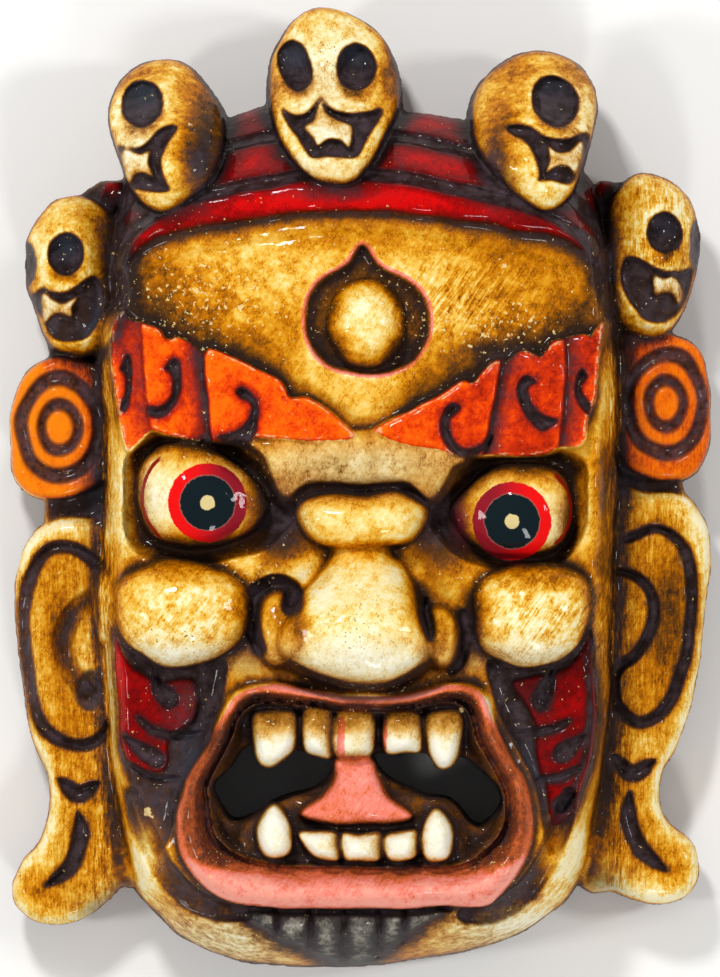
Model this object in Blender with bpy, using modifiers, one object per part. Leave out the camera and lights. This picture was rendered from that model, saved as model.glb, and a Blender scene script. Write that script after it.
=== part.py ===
"""A carved wooden mask of a wrathful protector, lying face up on the flat rim of its back.

The mask is one block of wood: face, crown of five skulls, ears and ear discs are all cut from it,
and the back is hollowed out for a wearer. The frame has +X to the right of someone facing the mask,
+Y towards the crown and +Z out of the face. The outlines below are in millimetres in that frame.
"""

import bmesh
import bpy
import numpy as np

MM = 0.001

# The grid that is pushed up and down to carve the front, and how many facets are kept of it.
GRID_STEP = 1.2
GRID_HALF_WIDTH = 165.0
GRID_HALF_HEIGHT = 222.0
EVEN_STEP = 1.8
FRONT_FACETS = 8600
BELOW = -24.0
GRID_UNDERSIDE = -32.0

# Heights above the back rim.
FACE_HEIGHT = 94.0
FACE_FALL_ACROSS = 7.0
FACE_FALL_ALONG = 9.0
FLANGE_HEIGHT = 26.0
EAR_HEIGHT = 28.0
DISC_HEIGHT = 34.0
CROWN_SKULL_HEIGHT = 60.0
UPPER_SKULL_HEIGHT = 46.0
LOWER_SKULL_HEIGHT = 34.0
NOSE_ROOT_HEIGHT = 86.0
NOSE_TIP_LIFT = 24.0
MOUTH_FLOOR = 74.0
GUM_HEIGHT = 81.0
TOOTH_HEIGHT = 91.0
TONGUE_HEIGHT = 88.0
EYE_HEIGHT = 86.0
CHEEK_HEIGHT = 88.0

# The hollow back: half its width and length, its middle along Y, and the height of its roof.
HOLLOW_HALF = (98.0, 173.0)
HOLLOW_MIDDLE = -22.0
HOLLOW_ROOF = 62.0
HOLLOW_NOSE_ROOM = 24.0
HOLLOW_FOREHEAD_ROOM = 14.0
HOLLOW_SQUARENESS = 3.2

# The flat of the back, and the slope that lifts ears and crown off the ground outside it.
BACK_HALF = (113.0, 191.0)
BACK_MIDDLE = -21.0
BACK_SQUARENESS = 4.0
BACK_SLOPE_REACH = 1.7
BACK_SLOPE_RISE = 24.0
BACK_CROWN_RISE = 70.0

HEAD = [
    (-113, 75), (-114.5, 20), (-115, -60), (-112, -120), (-106, -160), (-100, -177), (-91, -189),
    (-77, -201), (-60, -208), (-36, -212), (0, -212), (24, -209.5), (52, -205), (69, -199), (84, -189),
    (95, -178), (102, -165), (108, -130), (113, -80), (115, -20), (116, 40), (114, 80), (109, 118),
    (98, 143), (75, 156), (49, 163), (17, 168.5), (-18, 171), (-40, 170), (-61, 164), (-85, 154),
    (-103, 141), (-111, 115),
]
FLANGES = [
    [(-100, 125), (-139, 112), (-138, 62), (-135, 30), (-139, -9), (-136, -40), (-100, -60)],
    [(100, 125), (142, 112), (138, 70), (135, 30), (142, -1), (136, -40), (100, -60)],
]
BAND = [
    (-113, 74), (-107, 91), (-99, 101), (-86, 110), (-60, 115.5), (-25, 120), (0, 120.5), (25, 119.5),
    (50, 116), (78, 111.5), (92, 107), (104, 98), (110, 86), (114, 74), (122, 100), (116, 130),
    (100, 152), (75, 164), (49, 172), (17, 178), (-18, 181), (-40, 180), (-61, 174), (-85, 165),
    (-105, 150), (-119, 118),
]
BAND_GROOVES = [
    [(-113, 96), (-104, 110), (-85, 123), (-60, 131), (-35, 136), (-12, 138), (20, 136), (50, 129),
     (75, 123), (96, 111), (110, 92)],
    [(-110, 118), (-98, 132), (-80, 143), (-60, 150), (-40, 154), (-12, 156), (20, 153), (50, 147),
     (75, 138), (95, 126), (109, 108)],
]
THIRD_EYE = [
    (1, 107), (-6, 98), (-17, 90.5), (-23, 82), (-24.5, 72), (-22, 62), (-15, 54), (-5, 50.5),
    (3, 49.5), (15, 51), (24, 56), (30, 65), (31, 74), (28, 84), (21, 91.5), (9, 98),
]
BROWS = [
    [(-104, 77), (-97, 72), (-89, 71), (-83, 66), (-76, 65), (-71, 60), (-60, 60), (-50, 55),
     (-38, 49), (-31, 45), (-27, 40), (-20, 39), (-8, 30), (-1, 24.5), (-8, 21), (-20, 20.5),
     (-38, 22), (-55, 21), (-72, 20.5), (-85, 23), (-92, 25), (-98, 20), (-103, 18), (-107, 32),
     (-110, 50), (-110, 66)],
    [(4, 27), (12, 29.5), (20, 34), (30, 40), (40, 46.5), (50, 49), (61, 55.5), (72, 60.5), (80, 60),
     (89, 64), (98, 67.5), (106, 72), (105, 60), (101, 40), (100, 26), (95, 19), (80, 16),
     (62, 15.5), (45, 15), (35, 17), (20, 20), (12, 22)],
]
# Where each flame of a brow overlaps the next one out: X at mid height, and the lean of that edge.
BROW_STEPS = [((-66, -95), -0.11), ((60, 90), 0.13)]
BROW_CURLS = [
    [(-52, 42), (-48, 44), (-46, 38), (-45, 32), (-47, 25), (-52, 21), (-57, 22)],
    [(-84, 54), (-80, 54), (-79, 48), (-80, 40), (-85, 34), (-92, 34)],
    [(-103, 57), (-102, 47), (-104, 35)],
    [(43, 35), (39, 37), (37, 30), (37, 23), (43, 17), (54, 17)],
    [(76, 48), (71, 48), (69, 42), (71, 34), (77, 28), (86, 29)],
    [(98, 52), (95, 49), (96, 40), (100, 34)],
]
EYE_SOCKETS = [
    [(-99, 19), (-104, 0), (-101, -25), (-80, -33), (-56, -31), (-38, -24), (-27, -10), (-36, 4),
     (-48, 18), (-72, 24)],
    [(100, 13), (104, -4), (98, -26), (80, -36), (58, -35), (38, -27), (28, -10), (38, 2), (50, 14),
     (75, 18)],
]
EYEBALLS = [
    [(-97, -4), (-95, 10), (-87, 19), (-74, 21), (-60, 15), (-49, 6), (-41, -3), (-42, -12),
     (-52, -20), (-64, -25), (-80, -26), (-92, -20)],
    [(92, -8), (89, 4), (80, 11), (68, 12.5), (56, 8), (45, -2), (40, -9), (43, -18), (52, -26),
     (64, -30), (78, -30), (89, -22)],
]
GLABELLA = [
    (-48, 21), (-41, 13), (-37, 0), (-32, -4), (-24, 2), (-10, 2), (0, 1), (12, 2), (22, 2),
    (30, -5), (36, 0), (41, 9), (45, 14), (20, 22), (2, 27), (-20, 22),
]
NOSE_KNOB = [
    (-28, -12), (-24, -4), (-10, -2), (0, -3), (14, -1), (25, -5), (29, -12), (24, -22), (10, -26),
    (-8, -26), (-22, -22),
]
NOSE = [
    (-15, -24), (-19, -38), (-25, -50), (-33, -60), (-36, -70), (-28, -77), (-14, -83), (4, -86),
    (18, -82), (28, -77), (32, -70), (30, -60), (25, -50), (19, -38), (15, -24),
]
NOSTRIL_WINGS = [
    [(-31, -47), (-26, -56), (-28, -70), (-33, -77), (-43, -74), (-48, -64), (-47, -52), (-40, -45)],
    [(30, -52), (27, -62), (28, -72), (35, -78), (42, -74), (44, -64), (40, -53)],
]
NOSTRIL_CURL = [(-29, -50), (-29, -43), (-37, -41), (-46, -46), (-49, -58), (-46, -72)]
NOSTRIL_SLIT = [(29, -49), (28, -58), (29, -67)]
CHEEKS = [
    [(-106, -44), (-98, -34), (-80, -31), (-62, -34), (-50, -42), (-48, -56), (-54, -69), (-68, -76),
     (-84, -78), (-98, -71), (-105, -60)],
    [(101, -44), (94, -35), (78, -32), (62, -35), (51, -42), (48, -55), (52, -69), (66, -77),
     (80, -78), (94, -71), (100, -60)],
]
LIPS = [
    (-48, -85), (-57, -91), (-62.5, -102), (-67, -113), (-75, -126), (-80, -140), (-80, -156),
    (-74, -168.5), (-65, -177), (-54, -182), (-39, -183.5), (-4, -184), (48.5, -183), (60, -179.5),
    (69, -169), (75, -157), (76, -143), (73, -130), (67, -119), (61, -105), (57, -92), (50, -85.5),
    (38, -85), (20, -89), (0, -91), (-20, -89), (-36, -85),
]
MOUTH = [
    (-42, -93), (-53, -99), (-57, -110), (-63, -122), (-67, -133), (-66, -146), (-58, -158),
    (-44, -164), (-20, -166), (20, -166), (44, -164), (56, -157), (63, -146), (63, -133),
    (58, -123), (52, -111), (47, -97), (36, -93), (20, -96), (0, -98), (-20, -96),
]
GUMS = [
    [(-48, -97), (-20, -98), (0, -99), (28, -97), (46, -97), (46, -108), (20, -112), (-20, -112),
     (-50, -108)],
    [(-50, -162), (-46, -140), (-34, -137), (-24, -134), (0, -134), (24, -134), (38, -138),
     (44, -150), (42, -164), (0, -166)],
]
TEETH = [
    [(-47, -101), (-29, -101), (-29, -113), (-34, -120), (-39, -123), (-44, -120), (-46, -112)],
    [(-25, -102), (-13, -102), (-12.5, -116), (-18, -117.5), (-24, -113)],
    [(-9.5, -100), (5.5, -100), (5.5, -116.5), (-9.5, -117)],
    [(11, -100), (26, -100), (26.5, -113), (20, -116), (12, -115.5)],
    [(29, -101), (44, -101), (44, -114), (41, -121), (36, -123), (32, -120), (29, -112)],
    [(-45, -155), (-44, -146), (-37, -139), (-30, -147), (-30, -158), (-36, -162), (-42, -161)],
    [(-27, -151), (-20, -149.5), (-10, -151), (-9.5, -161), (-16, -163), (-24, -159)],
    [(-7.5, -151), (0, -152), (8.5, -151), (8.5, -162), (0, -163), (-7.5, -162)],
    [(10, -152), (18, -150), (25.5, -150), (25.5, -160), (18, -163), (11, -161)],
    [(28, -148), (33, -141), (39, -147), (40, -158), (36, -162.5), (29, -162)],
]
TONGUE = [
    (-10, -118), (5, -118), (8, -126), (13, -135), (22, -142), (19, -146), (0, -148.5), (-19, -146),
    (-24, -142), (-14, -133), (-11, -126),
]
MOUTH_HOLES = [
    [(-48, -112), (-58, -122), (-65, -130), (-63, -140), (-54, -147), (-43, -143), (-30, -136),
     (-16, -129), (-10, -118), (-25, -115)],
    [(6, -116.5), (27, -115.5), (42, -116), (52, -123), (62, -132), (62, -141), (52, -149),
     (40, -138), (24, -133.5), (9, -125)],
]
FLAME_BEDS = [
    [(-107, -66), (-98, -76), (-84, -83), (-68, -82), (-60, -80), (-62, -92), (-66, -104),
     (-72, -118), (-82, -134), (-84, -150), (-90, -160), (-100, -140), (-106, -110)],
    [(102, -66), (92, -76), (80, -83), (66, -82), (58, -82), (62, -94), (66, -106), (72, -118),
     (80, -136), (82, -152), (86, -160), (96, -145), (101, -120), (104, -90)],
]
FLAME_NOTCHES = [
    [(-86, -82), (-85, -90), (-85, -96)],
    [(-98, -101), (-88, -107), (-74, -108)],
    [(-102, -110), (-95, -116), (-88, -119)],
    [(-100, -124), (-90, -129), (-80, -129)],
    [(82, -82), (82, -88), (82, -93)],
    [(92, -102), (82, -107), (71, -107)],
    [(98, -111), (92, -116), (86, -118)],
    [(97, -123), (88, -128), (78, -129)],
    [(95, -135), (90, -139), (87, -143)],
]
JAW_GROOVES = [
    [(-100, -128), (-95, -145), (-88, -163), (-78, -176), (-64, -185), (-50, -187)],
    [(94, -128), (88, -148), (83, -163), (73, -176), (60, -185), (46, -187)],
]
BEARD = [
    (-51, -187), (-36, -199), (-25, -205), (-12, -211), (0, -211.5), (10, -207), (22, -198),
    (34, -187), (0, -185),
]
BEARD_TOP = [(-48, -185.5), (0, -186.5), (44, -185.5)]
BEARD_RIBS = (-36, -22, -7.5, 8, 19)
EARS = [
    [(-108, -16), (-120, -13), (-132, -13), (-144, -20), (-151, -34), (-152.5, -48), (-151, -72),
     (-147, -100), (-142, -117), (-138, -127), (-137, -141), (-141, -156), (-149, -166),
     (-154, -176), (-151, -186), (-142, -191.5), (-131, -192.5), (-118, -187), (-107, -177),
     (-96, -168), (-98, -90)],
    [(108, -4), (128, -2), (141, -2), (149, -9), (154, -20), (154, -36), (152, -62), (147, -92),
     (141, -113), (134, -126), (132, -139), (136, -149), (146, -157), (149, -165), (148, -174),
     (142, -181), (130, -183.5), (114, -179), (97, -170), (98, -90)],
]
EAR_SCROLLS = [
    [(-112, -44), (-117, -33), (-128, -26), (-140, -28), (-148, -42), (-149, -62), (-146, -88),
     (-141, -104), (-132, -112), (-121, -113), (-113, -104), (-113, -95), (-119, -90), (-124, -83)],
    [(118, -22), (131, -18), (142, -24), (148, -38), (149, -58), (144, -79), (136, -96),
     (124, -103), (114, -97), (111, -87), (114, -77), (122, -69), (127, -59), (126, -49), (116, -41)],
]
EAR_SHELL = [(-114, -46), (-124, -51), (-131, -60), (-131, -72), (-127, -82), (-121, -90)]
LOBE_NOTCHES = [
    [(-132, -130), (-124, -135), (-116, -131)],
    [(-126, -144), (-124.5, -155), (-129, -167), (-139, -174)],
    [(112, -119), (121, -126), (130, -121)],
    [(120.5, -135), (120, -148), (125, -160), (135.5, -168)],
]
# Each disc: its outline, its centre, and how much taller than wide its turned rings are.
DISCS = [
    ([(-138, -5), (-148, -1), (-153.5, 8), (-154, 26), (-152.5, 42), (-147, 51), (-136, 57.5),
      (-122, 57), (-112, 50), (-110, 26), (-112, 6), (-122, -2)], (-133, 27)),
    ([(138, 4), (149, 8), (154, 20), (155, 36), (154, 52), (150, 61), (140, 67), (128, 71),
      (114, 70), (112, 36), (116, 12), (127, 5)], (135.5, 37.5)),
]
DISC_STRETCH = 1.25
DISC_RINGS = ((17.0, 4.6), (8.0, 4.2))

# Each skull: outline, eye sockets as ovals (X, Y, half width, half height), the part of the face
# that falls back below the cheekbones, and the nose and teeth that stand in it.
CROWN_SKULL = (
    [(-18, 212), (-31, 204), (-37, 193), (-40, 180), (-39, 168), (-36.5, 157), (-32, 147),
     (-26, 139.5), (-18, 134), (-9, 132.5), (-2, 135), (4, 142), (8, 150), (12, 158), (17, 168),
     (17, 179), (14.5, 190), (9, 200), (-3, 208)],
    [(-28.5, 185, 8, 11.5), (-2, 184.5, 9, 10.5)],
    [(-36, 163), (-29, 162), (-22, 165), (-17, 170), (-11, 166), (-2, 163), (8, 166), (12, 165),
     (8, 155), (2, 145), (-4, 143), (-18, 143), (-24, 147), (-31, 153)],
    [(-16, 169), (-13, 161), (-4, 157), (-3, 150), (-11, 152), (-19, 149.5), (-23, 157), (-18, 161)],
)
UPPER_SKULLS = [
    ([(-87, 189), (-98, 186), (-107, 178), (-110.5, 168), (-109, 156), (-106, 145), (-102, 135),
      (-96, 125), (-88, 121), (-78, 124), (-66, 134), (-60, 150), (-61, 165), (-67, 176), (-76, 186)],
     [(-96, 169, 9.5, 10.5)],
     [(-108, 148), (-99, 148), (-94, 153), (-87, 158), (-80, 157), (-82, 145), (-86, 131),
      (-93, 129), (-101, 134), (-105, 142)],
     [(-97, 155), (-93, 150), (-89, 146), (-91, 137), (-96, 138), (-101, 139), (-101, 146)]),
    ([(79, 193), (92, 190), (100, 183), (103.5, 172), (101.5, 158), (98, 143), (93, 130),
      (84, 121.5), (74, 124), (62, 134), (52, 148), (49, 162), (50, 172), (56, 182), (67, 190)],
     [(86, 170.5, 10.5, 11.5)],
     [(70, 160), (78, 158), (86, 153), (92, 153), (101, 156), (99, 145), (93, 135), (85, 132),
      (78, 136), (73, 147)],
     [(87, 156), (89, 150), (96, 149), (95, 140), (88, 141), (83, 143), (82, 149)]),
]
LOWER_SKULLS = [
    ([(-122, 129), (-134, 127), (-143, 119), (-148, 108), (-148, 92), (-144, 80), (-140, 68),
      (-134, 60), (-120, 58), (-108, 66), (-104, 90), (-106, 112), (-112, 124)],
     [(-130, 103, 8, 9.5), (-146, 99, 3.5, 9.5)],
     [(-146, 85), (-138, 85), (-131, 84), (-123, 89), (-116, 93), (-114, 82), (-118, 70),
      (-126, 65), (-137, 67), (-142, 76)],
     [(-138, 88), (-133, 82), (-128, 78), (-130, 71), (-136, 73), (-141, 73), (-140, 80)]),
    ([(122, 138.5), (134, 137), (144, 130), (149, 118), (150, 106), (147, 91), (141, 76), (134, 68),
      (118, 68), (108, 80), (106, 104), (110, 126)],
     [(134, 112, 8, 8.5), (148, 108, 3.5, 9)],
     [(118, 103), (126, 97), (134, 95), (141, 95), (148, 95), (144, 85), (138, 76), (128, 76),
      (120, 88)],
     [(138, 98), (140, 90), (143, 84), (136, 81), (130, 83), (131, 90)]),
]


def smooth_line(points, closed, steps=5):
    """Points along the smooth curve that runs through the given ones."""
    p = np.array(points, float)
    if closed:
        p = np.vstack([p[-1:], p, p[:2]])
    else:
        p = np.vstack([2 * p[0] - p[1], p, 2 * p[-1] - p[-2]])
    t = np.arange(steps)[:, None] / steps
    runs = []
    for a, b, c, d in zip(p, p[1:], p[2:], p[3:]):
        bend = (2 * a - 5 * b + 4 * c - d) * t**2 + (3 * b - a - 3 * c + d) * t**3
        runs.append(b + 0.5 * ((c - a) * t + bend))
    return np.vstack(runs if closed else runs + [p[-2:-1]])


def dome(share, power=2.0):
    """A rounded rise from 0 to 1 as share goes from 0 to 1."""
    return (1 - (1 - np.clip(share, 0, 1)) ** power) ** (1 / power)


def ramp(low, high, value):
    """A smooth step from 0 at low to 1 at high."""
    t = np.clip((value - low) / (high - low), 0, 1)
    return t * t * (3 - 2 * t)


def mound(x, y, middle, reach):
    """A soft bump of height 1."""
    return np.exp(-(((x - middle[0]) / reach[0]) ** 2) - ((y - middle[1]) / reach[1]) ** 2)


def soft_max(a, b, width):
    """The higher of two heights, with the crease between them filled."""
    share = np.clip(0.5 + 0.5 * (a - b) / width, 0, 1)
    return b + (a - b) * share + width * share * (1 - share)


def blur(field, reach):
    """A field averaged over about that many cells."""
    for stride in range(1, reach + 1):
        for axis in (0, 1):
            sides = np.roll(field, stride, axis) + np.roll(field, -stride, axis)
            field = 0.5 * field + 0.25 * sides
    return field


class Carving:
    """Heights over a flat grid: forms are raised on it, and then gouges are cut into them."""

    def __init__(self, x, y, step):
        self.x = x
        self.y = y
        self.step = step
        self.z = np.full(x.shape, BELOW)
        across = (x / 105) ** 2
        along = ((y - 20) / 200) ** 2
        self.face = FACE_HEIGHT - FACE_FALL_ACROSS * across - FACE_FALL_ALONG * along

    def window(self, line, margin):
        """The rows and columns of the grid near a line."""
        low = line.min(0) - margin
        high = line.max(0) + margin
        columns = np.flatnonzero((self.x[0] >= low[0]) & (self.x[0] <= high[0]))
        rows = np.flatnonzero((self.y[:, 0] >= low[1]) & (self.y[:, 0] <= high[1]))
        return slice(rows[0], rows[-1] + 1), slice(columns[0], columns[-1] + 1)

    def inside(self, points, margin=16.0, ridge=4.0):
        """Distance inside an outline, negative outside, with its middle ridge rounded off."""
        line = smooth_line(points, True)
        near = self.window(line, margin)
        x = self.x[near]
        y = self.y[near]
        best = np.full(x.shape, 1e6)
        odd = np.zeros(x.shape, bool)
        for a, b in zip(line, np.roll(line, -1, 0)):
            run = b - a
            t = np.clip(((x - a[0]) * run[0] + (y - a[1]) * run[1]) / (run @ run + 1e-9), 0, 1)
            best = np.minimum(best, (x - a[0] - t * run[0]) ** 2 + (y - a[1] - t * run[1]) ** 2)
            if a[1] != b[1]:
                crossed = x < a[0] + (y - a[1]) * run[0] / run[1]
                odd ^= ((a[1] > y) != (b[1] > y)) & crossed
        depth = np.where(odd, 1, -1) * np.sqrt(best)
        if ridge:
            round_top = blur(np.maximum(depth, 0), round(ridge / self.step))
            share = ramp(0, 1.5 * ridge, depth)
            depth = np.where(depth > 0, depth + (round_top - depth) * share, depth)
        field = np.full(self.x.shape, -999.0)
        field[near] = depth
        return field

    def beside(self, points, margin=14.0):
        """Distance to an open line, and how far along it, 0 to 1, the nearest point is."""
        line = smooth_line(points, False)
        near = self.window(line, margin)
        x = self.x[near]
        y = self.y[near]
        best = np.full(x.shape, 1e6)
        share = np.zeros(x.shape)
        for i, (a, b) in enumerate(zip(line, line[1:])):
            run = b - a
            t = np.clip(((x - a[0]) * run[0] + (y - a[1]) * run[1]) / (run @ run + 1e-9), 0, 1)
            far = np.hypot(x - a[0] - t * run[0], y - a[1] - t * run[1])
            share = np.where(far < best, (i + t) / (len(line) - 1), share)
            best = np.minimum(best, far)
        distance = np.full(self.x.shape, 99.0)
        along = np.zeros(self.x.shape)
        distance[near] = best
        along[near] = share
        return distance, along

    def oval(self, x, y, half_width, half_height):
        """The round section of an oval: 1 at its middle, 0 on and outside its rim."""
        squares = ((self.x - x) / half_width) ** 2 + ((self.y - y) / half_height) ** 2
        return np.sqrt(np.clip(1 - squares, 0, 1))

    def raise_form(self, points, edge, rise, rounded, foot=0.0, wall=1.8, soft=0.0, ridge=4.0):
        """Raise a form: a wall from its foot to its edge, then a rise that is rounded over."""
        depth = self.inside(points, ridge=ridge)
        top = edge + rise * dome(depth / rounded)
        top = np.where(depth < 0, edge + (edge - foot) * depth / wall, top)
        self.z = soft_max(top, self.z, soft) if soft else np.maximum(self.z, top)
        return depth

    def hollow(self, points, deep, rounded):
        """Cut an area down, with rounded sides."""
        self.z = self.z - deep * dome(self.inside(points) / rounded)

    def gouge(self, points, width, deep, taper=0.0):
        """Cut a groove, round in section, that narrows towards its ends by taper."""
        distance, along = self.beside(points)
        half = 0.5 * width * (1 - taper * np.abs(2 * along - 1) ** 3)
        self.z = self.z - deep * dome(1 - distance / half)


def carve_sides(carving):
    """Flanges beside the head, with the ears and the discs on them."""
    for outline in FLANGES:
        carving.raise_form(outline, FLANGE_HEIGHT, 3, 6)
    for outline in EARS:
        carving.raise_form(outline, EAR_HEIGHT, 12, 9)
    for line in EAR_SCROLLS:
        carving.gouge(line, 5.5, 5)
    carving.gouge(EAR_SHELL, 9, 5, taper=0.3)
    for line in LOBE_NOTCHES:
        carving.gouge(line, 6, 5, taper=0.5)
    for outline, middle in DISCS:
        depth = carving.raise_form(outline, DISC_HEIGHT, 9, 8)
        radius = np.hypot(carving.x - middle[0], (carving.y - middle[1]) / DISC_STRETCH)
        for ring, width in DISC_RINGS:
            cut = 4 * dome(1 - np.abs(radius - ring) / (width / 2))
            carving.z = carving.z - np.where(depth > 0, cut, 0)


def carve_head(carving):
    """The head as a rounded block: steep sides, a rounder jaw, and a crown that falls away."""
    top = ramp(100, 150, carving.y)
    jaw = ramp(120, 175, -carving.y)
    depth = carving.inside(HEAD, margin=4, ridge=0)
    body = carving.face * dome(depth / (12 + 44 * top + 12 * jaw), power=1.7 + 0.4 * top + 0.3 * jaw)
    carving.z = np.where(depth > 0, np.maximum(carving.z, body), carving.z)
    bulge = 8 * mound(carving.x, carving.y, (-2, 86), (75, 42))
    carving.z = carving.z + bulge * ramp(0, 12, depth)


def carve_band(carving):
    """The headband in three rolls, and the third eye on the forehead below it."""
    carving.z = carving.z + 7 * dome(carving.inside(BAND, margin=4, ridge=0) / 7)
    for line in BAND_GROOVES:
        carving.gouge(line, 7, 4.5)
    carving.hollow(THIRD_EYE, 6, 5)
    ball = carving.oval(3, 72, 17.5, 19.5)
    lifted = np.maximum(carving.z, carving.face + 2 + 14 * ball)
    carving.z = np.where(ball > 0, lifted, carving.z)


def carve_eyes(carving):
    """Bulging eyeballs in deep sockets."""
    for outline in EYE_SOCKETS:
        carving.hollow(outline, 11, 9)
    for outline in EYEBALLS:
        carving.raise_form(outline, EYE_HEIGHT, 26, 25, foot=70, wall=3, ridge=7)


def carve_nose(carving):
    """The frown, the knob between the eyes, the nose with its wings, and the cheeks."""
    carving.raise_form(GLABELLA, 98, 5, 8, foot=84, wall=4, soft=4)
    carving.raise_form(NOSE_KNOB, 98, 18, 13, foot=80, wall=3, soft=3)
    edge = NOSE_ROOT_HEIGHT + NOSE_TIP_LIFT * ramp(-22, -62, carving.y)
    carving.raise_form(NOSE, edge, 20, 20, foot=edge - 16, wall=4, soft=4, ridge=7)
    for outline in NOSTRIL_WINGS:
        carving.raise_form(outline, 96, 17, 10, foot=84, wall=3, soft=2)
    carving.gouge(NOSTRIL_CURL, 6, 7, taper=0.3)
    carving.gouge(NOSTRIL_SLIT, 5, 8, taper=0.5)
    for outline in CHEEKS:
        carving.raise_form(outline, CHEEK_HEIGHT, 26, 24, foot=76, wall=3, soft=3, ridge=7)


def carve_brows(carving):
    """Flaming eyebrows, in flames that overlap like shingles."""
    for outline, (steps, lean) in zip(BROWS, BROW_STEPS):
        depth = carving.raise_form(outline, carving.face + 8, 4, 5, foot=carving.face - 4, wall=2)
        for step in steps:
            outward = np.sign(step) * (carving.x - step - lean * (carving.y - 43))
            cut = 5 * ramp(-0.8, 0.8, outward) * np.clip(1 - outward / 24, 0, 1)
            carving.z = carving.z - np.where(depth > 0, cut, 0)
    for line in BROW_CURLS:
        carving.gouge(line, 5, 4.5, taper=0.4)


def carve_jaw(carving):
    """Flames on the cheeks, the grooves inside the jaw and the ribbed beard."""
    for outline in FLAME_BEDS:
        carving.hollow(outline, 7, 6)
    for line in FLAME_NOTCHES:
        carving.gouge(line, 6, 4, taper=0.4)
    for line in JAW_GROOVES:
        carving.gouge(line, 12, 7, taper=0.4)
    carving.gouge(BEARD_TOP, 4, 5, taper=0.2)
    carving.z = carving.z + 3 * dome(carving.inside(BEARD) / 2.5)
    for x in BEARD_RIBS:
        carving.gouge([(x, -184), (x, -198), (x, -212)], 3, 3.5)


def carve_mouth(carving):
    """Full lips round an open mouth, with gums, teeth and tongue, open to the back beside them."""
    outer = carving.inside(LIPS, margin=30, ridge=0)
    inner = carving.inside(MOUTH, margin=30, ridge=0)
    across = np.clip(outer / (np.abs(outer) + np.abs(inner) + 1e-6), 0, 1)
    roll = np.where(across < 0.45, 15 * dome(across / 0.45), 15 - 20 * ramp(0.45, 1.15, across))
    lip = carving.face - 2 + roll + 4 * ramp(-150, -175, carving.y)
    carving.z = np.where((outer > 0) & (inner < 0), lip, carving.z)
    inside_wall = carving.face + 8 - 4 * inner
    carving.z = np.where(inner >= 0, np.maximum(MOUTH_FLOOR, inside_wall), carving.z)
    for outline in GUMS:
        carving.raise_form(outline, GUM_HEIGHT, 4, 5, foot=MOUTH_FLOOR, wall=4)
    for outline in TEETH:
        carving.raise_form(outline, TOOTH_HEIGHT, 12, 6, foot=70, wall=3, ridge=2)
    carving.raise_form(TONGUE, TONGUE_HEIGHT, 9, 8, foot=70, wall=4)
    for outline in MOUTH_HOLES:
        open_here = (carving.inside(outline) > 0) & (carving.z < GUM_HEIGHT + 6)
        carving.z = np.where(open_here, BELOW, carving.z)


def carve_skull(carving, shape, edge, rise):
    """One skull: a rounded head with eye sockets, and a face that falls back below the cheekbones."""
    outline, sockets, face, teeth = shape
    depth = carving.raise_form(outline, edge, rise, 24)
    for x, y, half_width, half_height in sockets:
        carving.z = carving.z - 11 * carving.oval(x, y, half_width, half_height)
    fallen = dome(carving.inside(face, ridge=0) / 4)
    standing = carving.inside(teeth, ridge=0) > 0
    carving.z = carving.z - np.where((depth > 0) & ~standing, 6 * fallen, 0)


def carve_skulls(carving):
    """The crown of five skulls; the upper three lean out over the band at their chins."""
    chin = ramp(190, 135, carving.y)
    carve_skull(carving, CROWN_SKULL, CROWN_SKULL_HEIGHT + 40 * chin, 22 - 8 * chin)
    for shape in UPPER_SKULLS:
        carve_skull(carving, shape, UPPER_SKULL_HEIGHT + 46 * chin, 24 - 8 * chin)
    for shape in LOWER_SKULLS:
        carve_skull(carving, shape, LOWER_SKULL_HEIGHT, 30)


def carve_front(x, y, step):
    """The whole front as heights, in millimetres, built up and cut in a carver's order."""
    carving = Carving(x, y, step)
    carve_sides(carving)
    carve_head(carving)
    carve_band(carving)
    carve_jaw(carving)
    carve_eyes(carving)
    carve_nose(carving)
    carve_brows(carving)
    carve_mouth(carving)
    carve_skulls(carving)
    return carving.z


def clear_scene():
    for item in list(bpy.data.objects):
        bpy.data.objects.remove(item, do_unlink=True)


def new_collection(name):
    collection = bpy.data.collections.new(name)
    bpy.context.scene.collection.children.link(collection)
    return collection


def add_object(name, shape, collection):
    """A new object from a bmesh, with its normals pointing out."""
    bmesh.ops.recalc_face_normals(shape, faces=shape.faces)
    mesh = bpy.data.meshes.new(name)
    shape.to_mesh(mesh)
    shape.free()
    item = bpy.data.objects.new(name, mesh)
    collection.objects.link(item)
    return item


def carved_block(collection):
    """The block: a grid pushed up to the carved heights, closed by a skirt and an underside."""
    shape = bmesh.new()
    columns = round(2 * GRID_HALF_WIDTH / GRID_STEP)
    rows = round(2 * GRID_HALF_HEIGHT / GRID_STEP)
    bmesh.ops.create_grid(shape, x_segments=columns, y_segments=rows, size=1)
    # create_grid lays its points out row by row, from the lowest X and Y.
    xs = np.linspace(-GRID_HALF_WIDTH, GRID_HALF_WIDTH, columns + 1)
    ys = np.linspace(-GRID_HALF_HEIGHT, GRID_HALF_HEIGHT, rows + 1)
    x, y = np.meshgrid(xs, ys)
    z = carve_front(x, y, GRID_STEP)
    for vert, place in zip(shape.verts, np.dstack([x, y, z]).reshape(-1, 3) * MM):
        vert.co = place
    low = BELOW * MM + 1e-6
    outside = [face for face in shape.faces if max(v.co.z for v in face.verts) < low]
    bmesh.ops.delete(shape, geom=outside, context="FACES")
    made = bmesh.ops.extrude_face_region(shape, geom=shape.faces[:], use_keep_orig=True)
    for item in made["geom"]:
        if isinstance(item, bmesh.types.BMVert):
            item.co.z = GRID_UNDERSIDE * MM
    bmesh.ops.triangulate(shape, faces=shape.faces)
    return add_object("mask", shape, collection)


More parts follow.
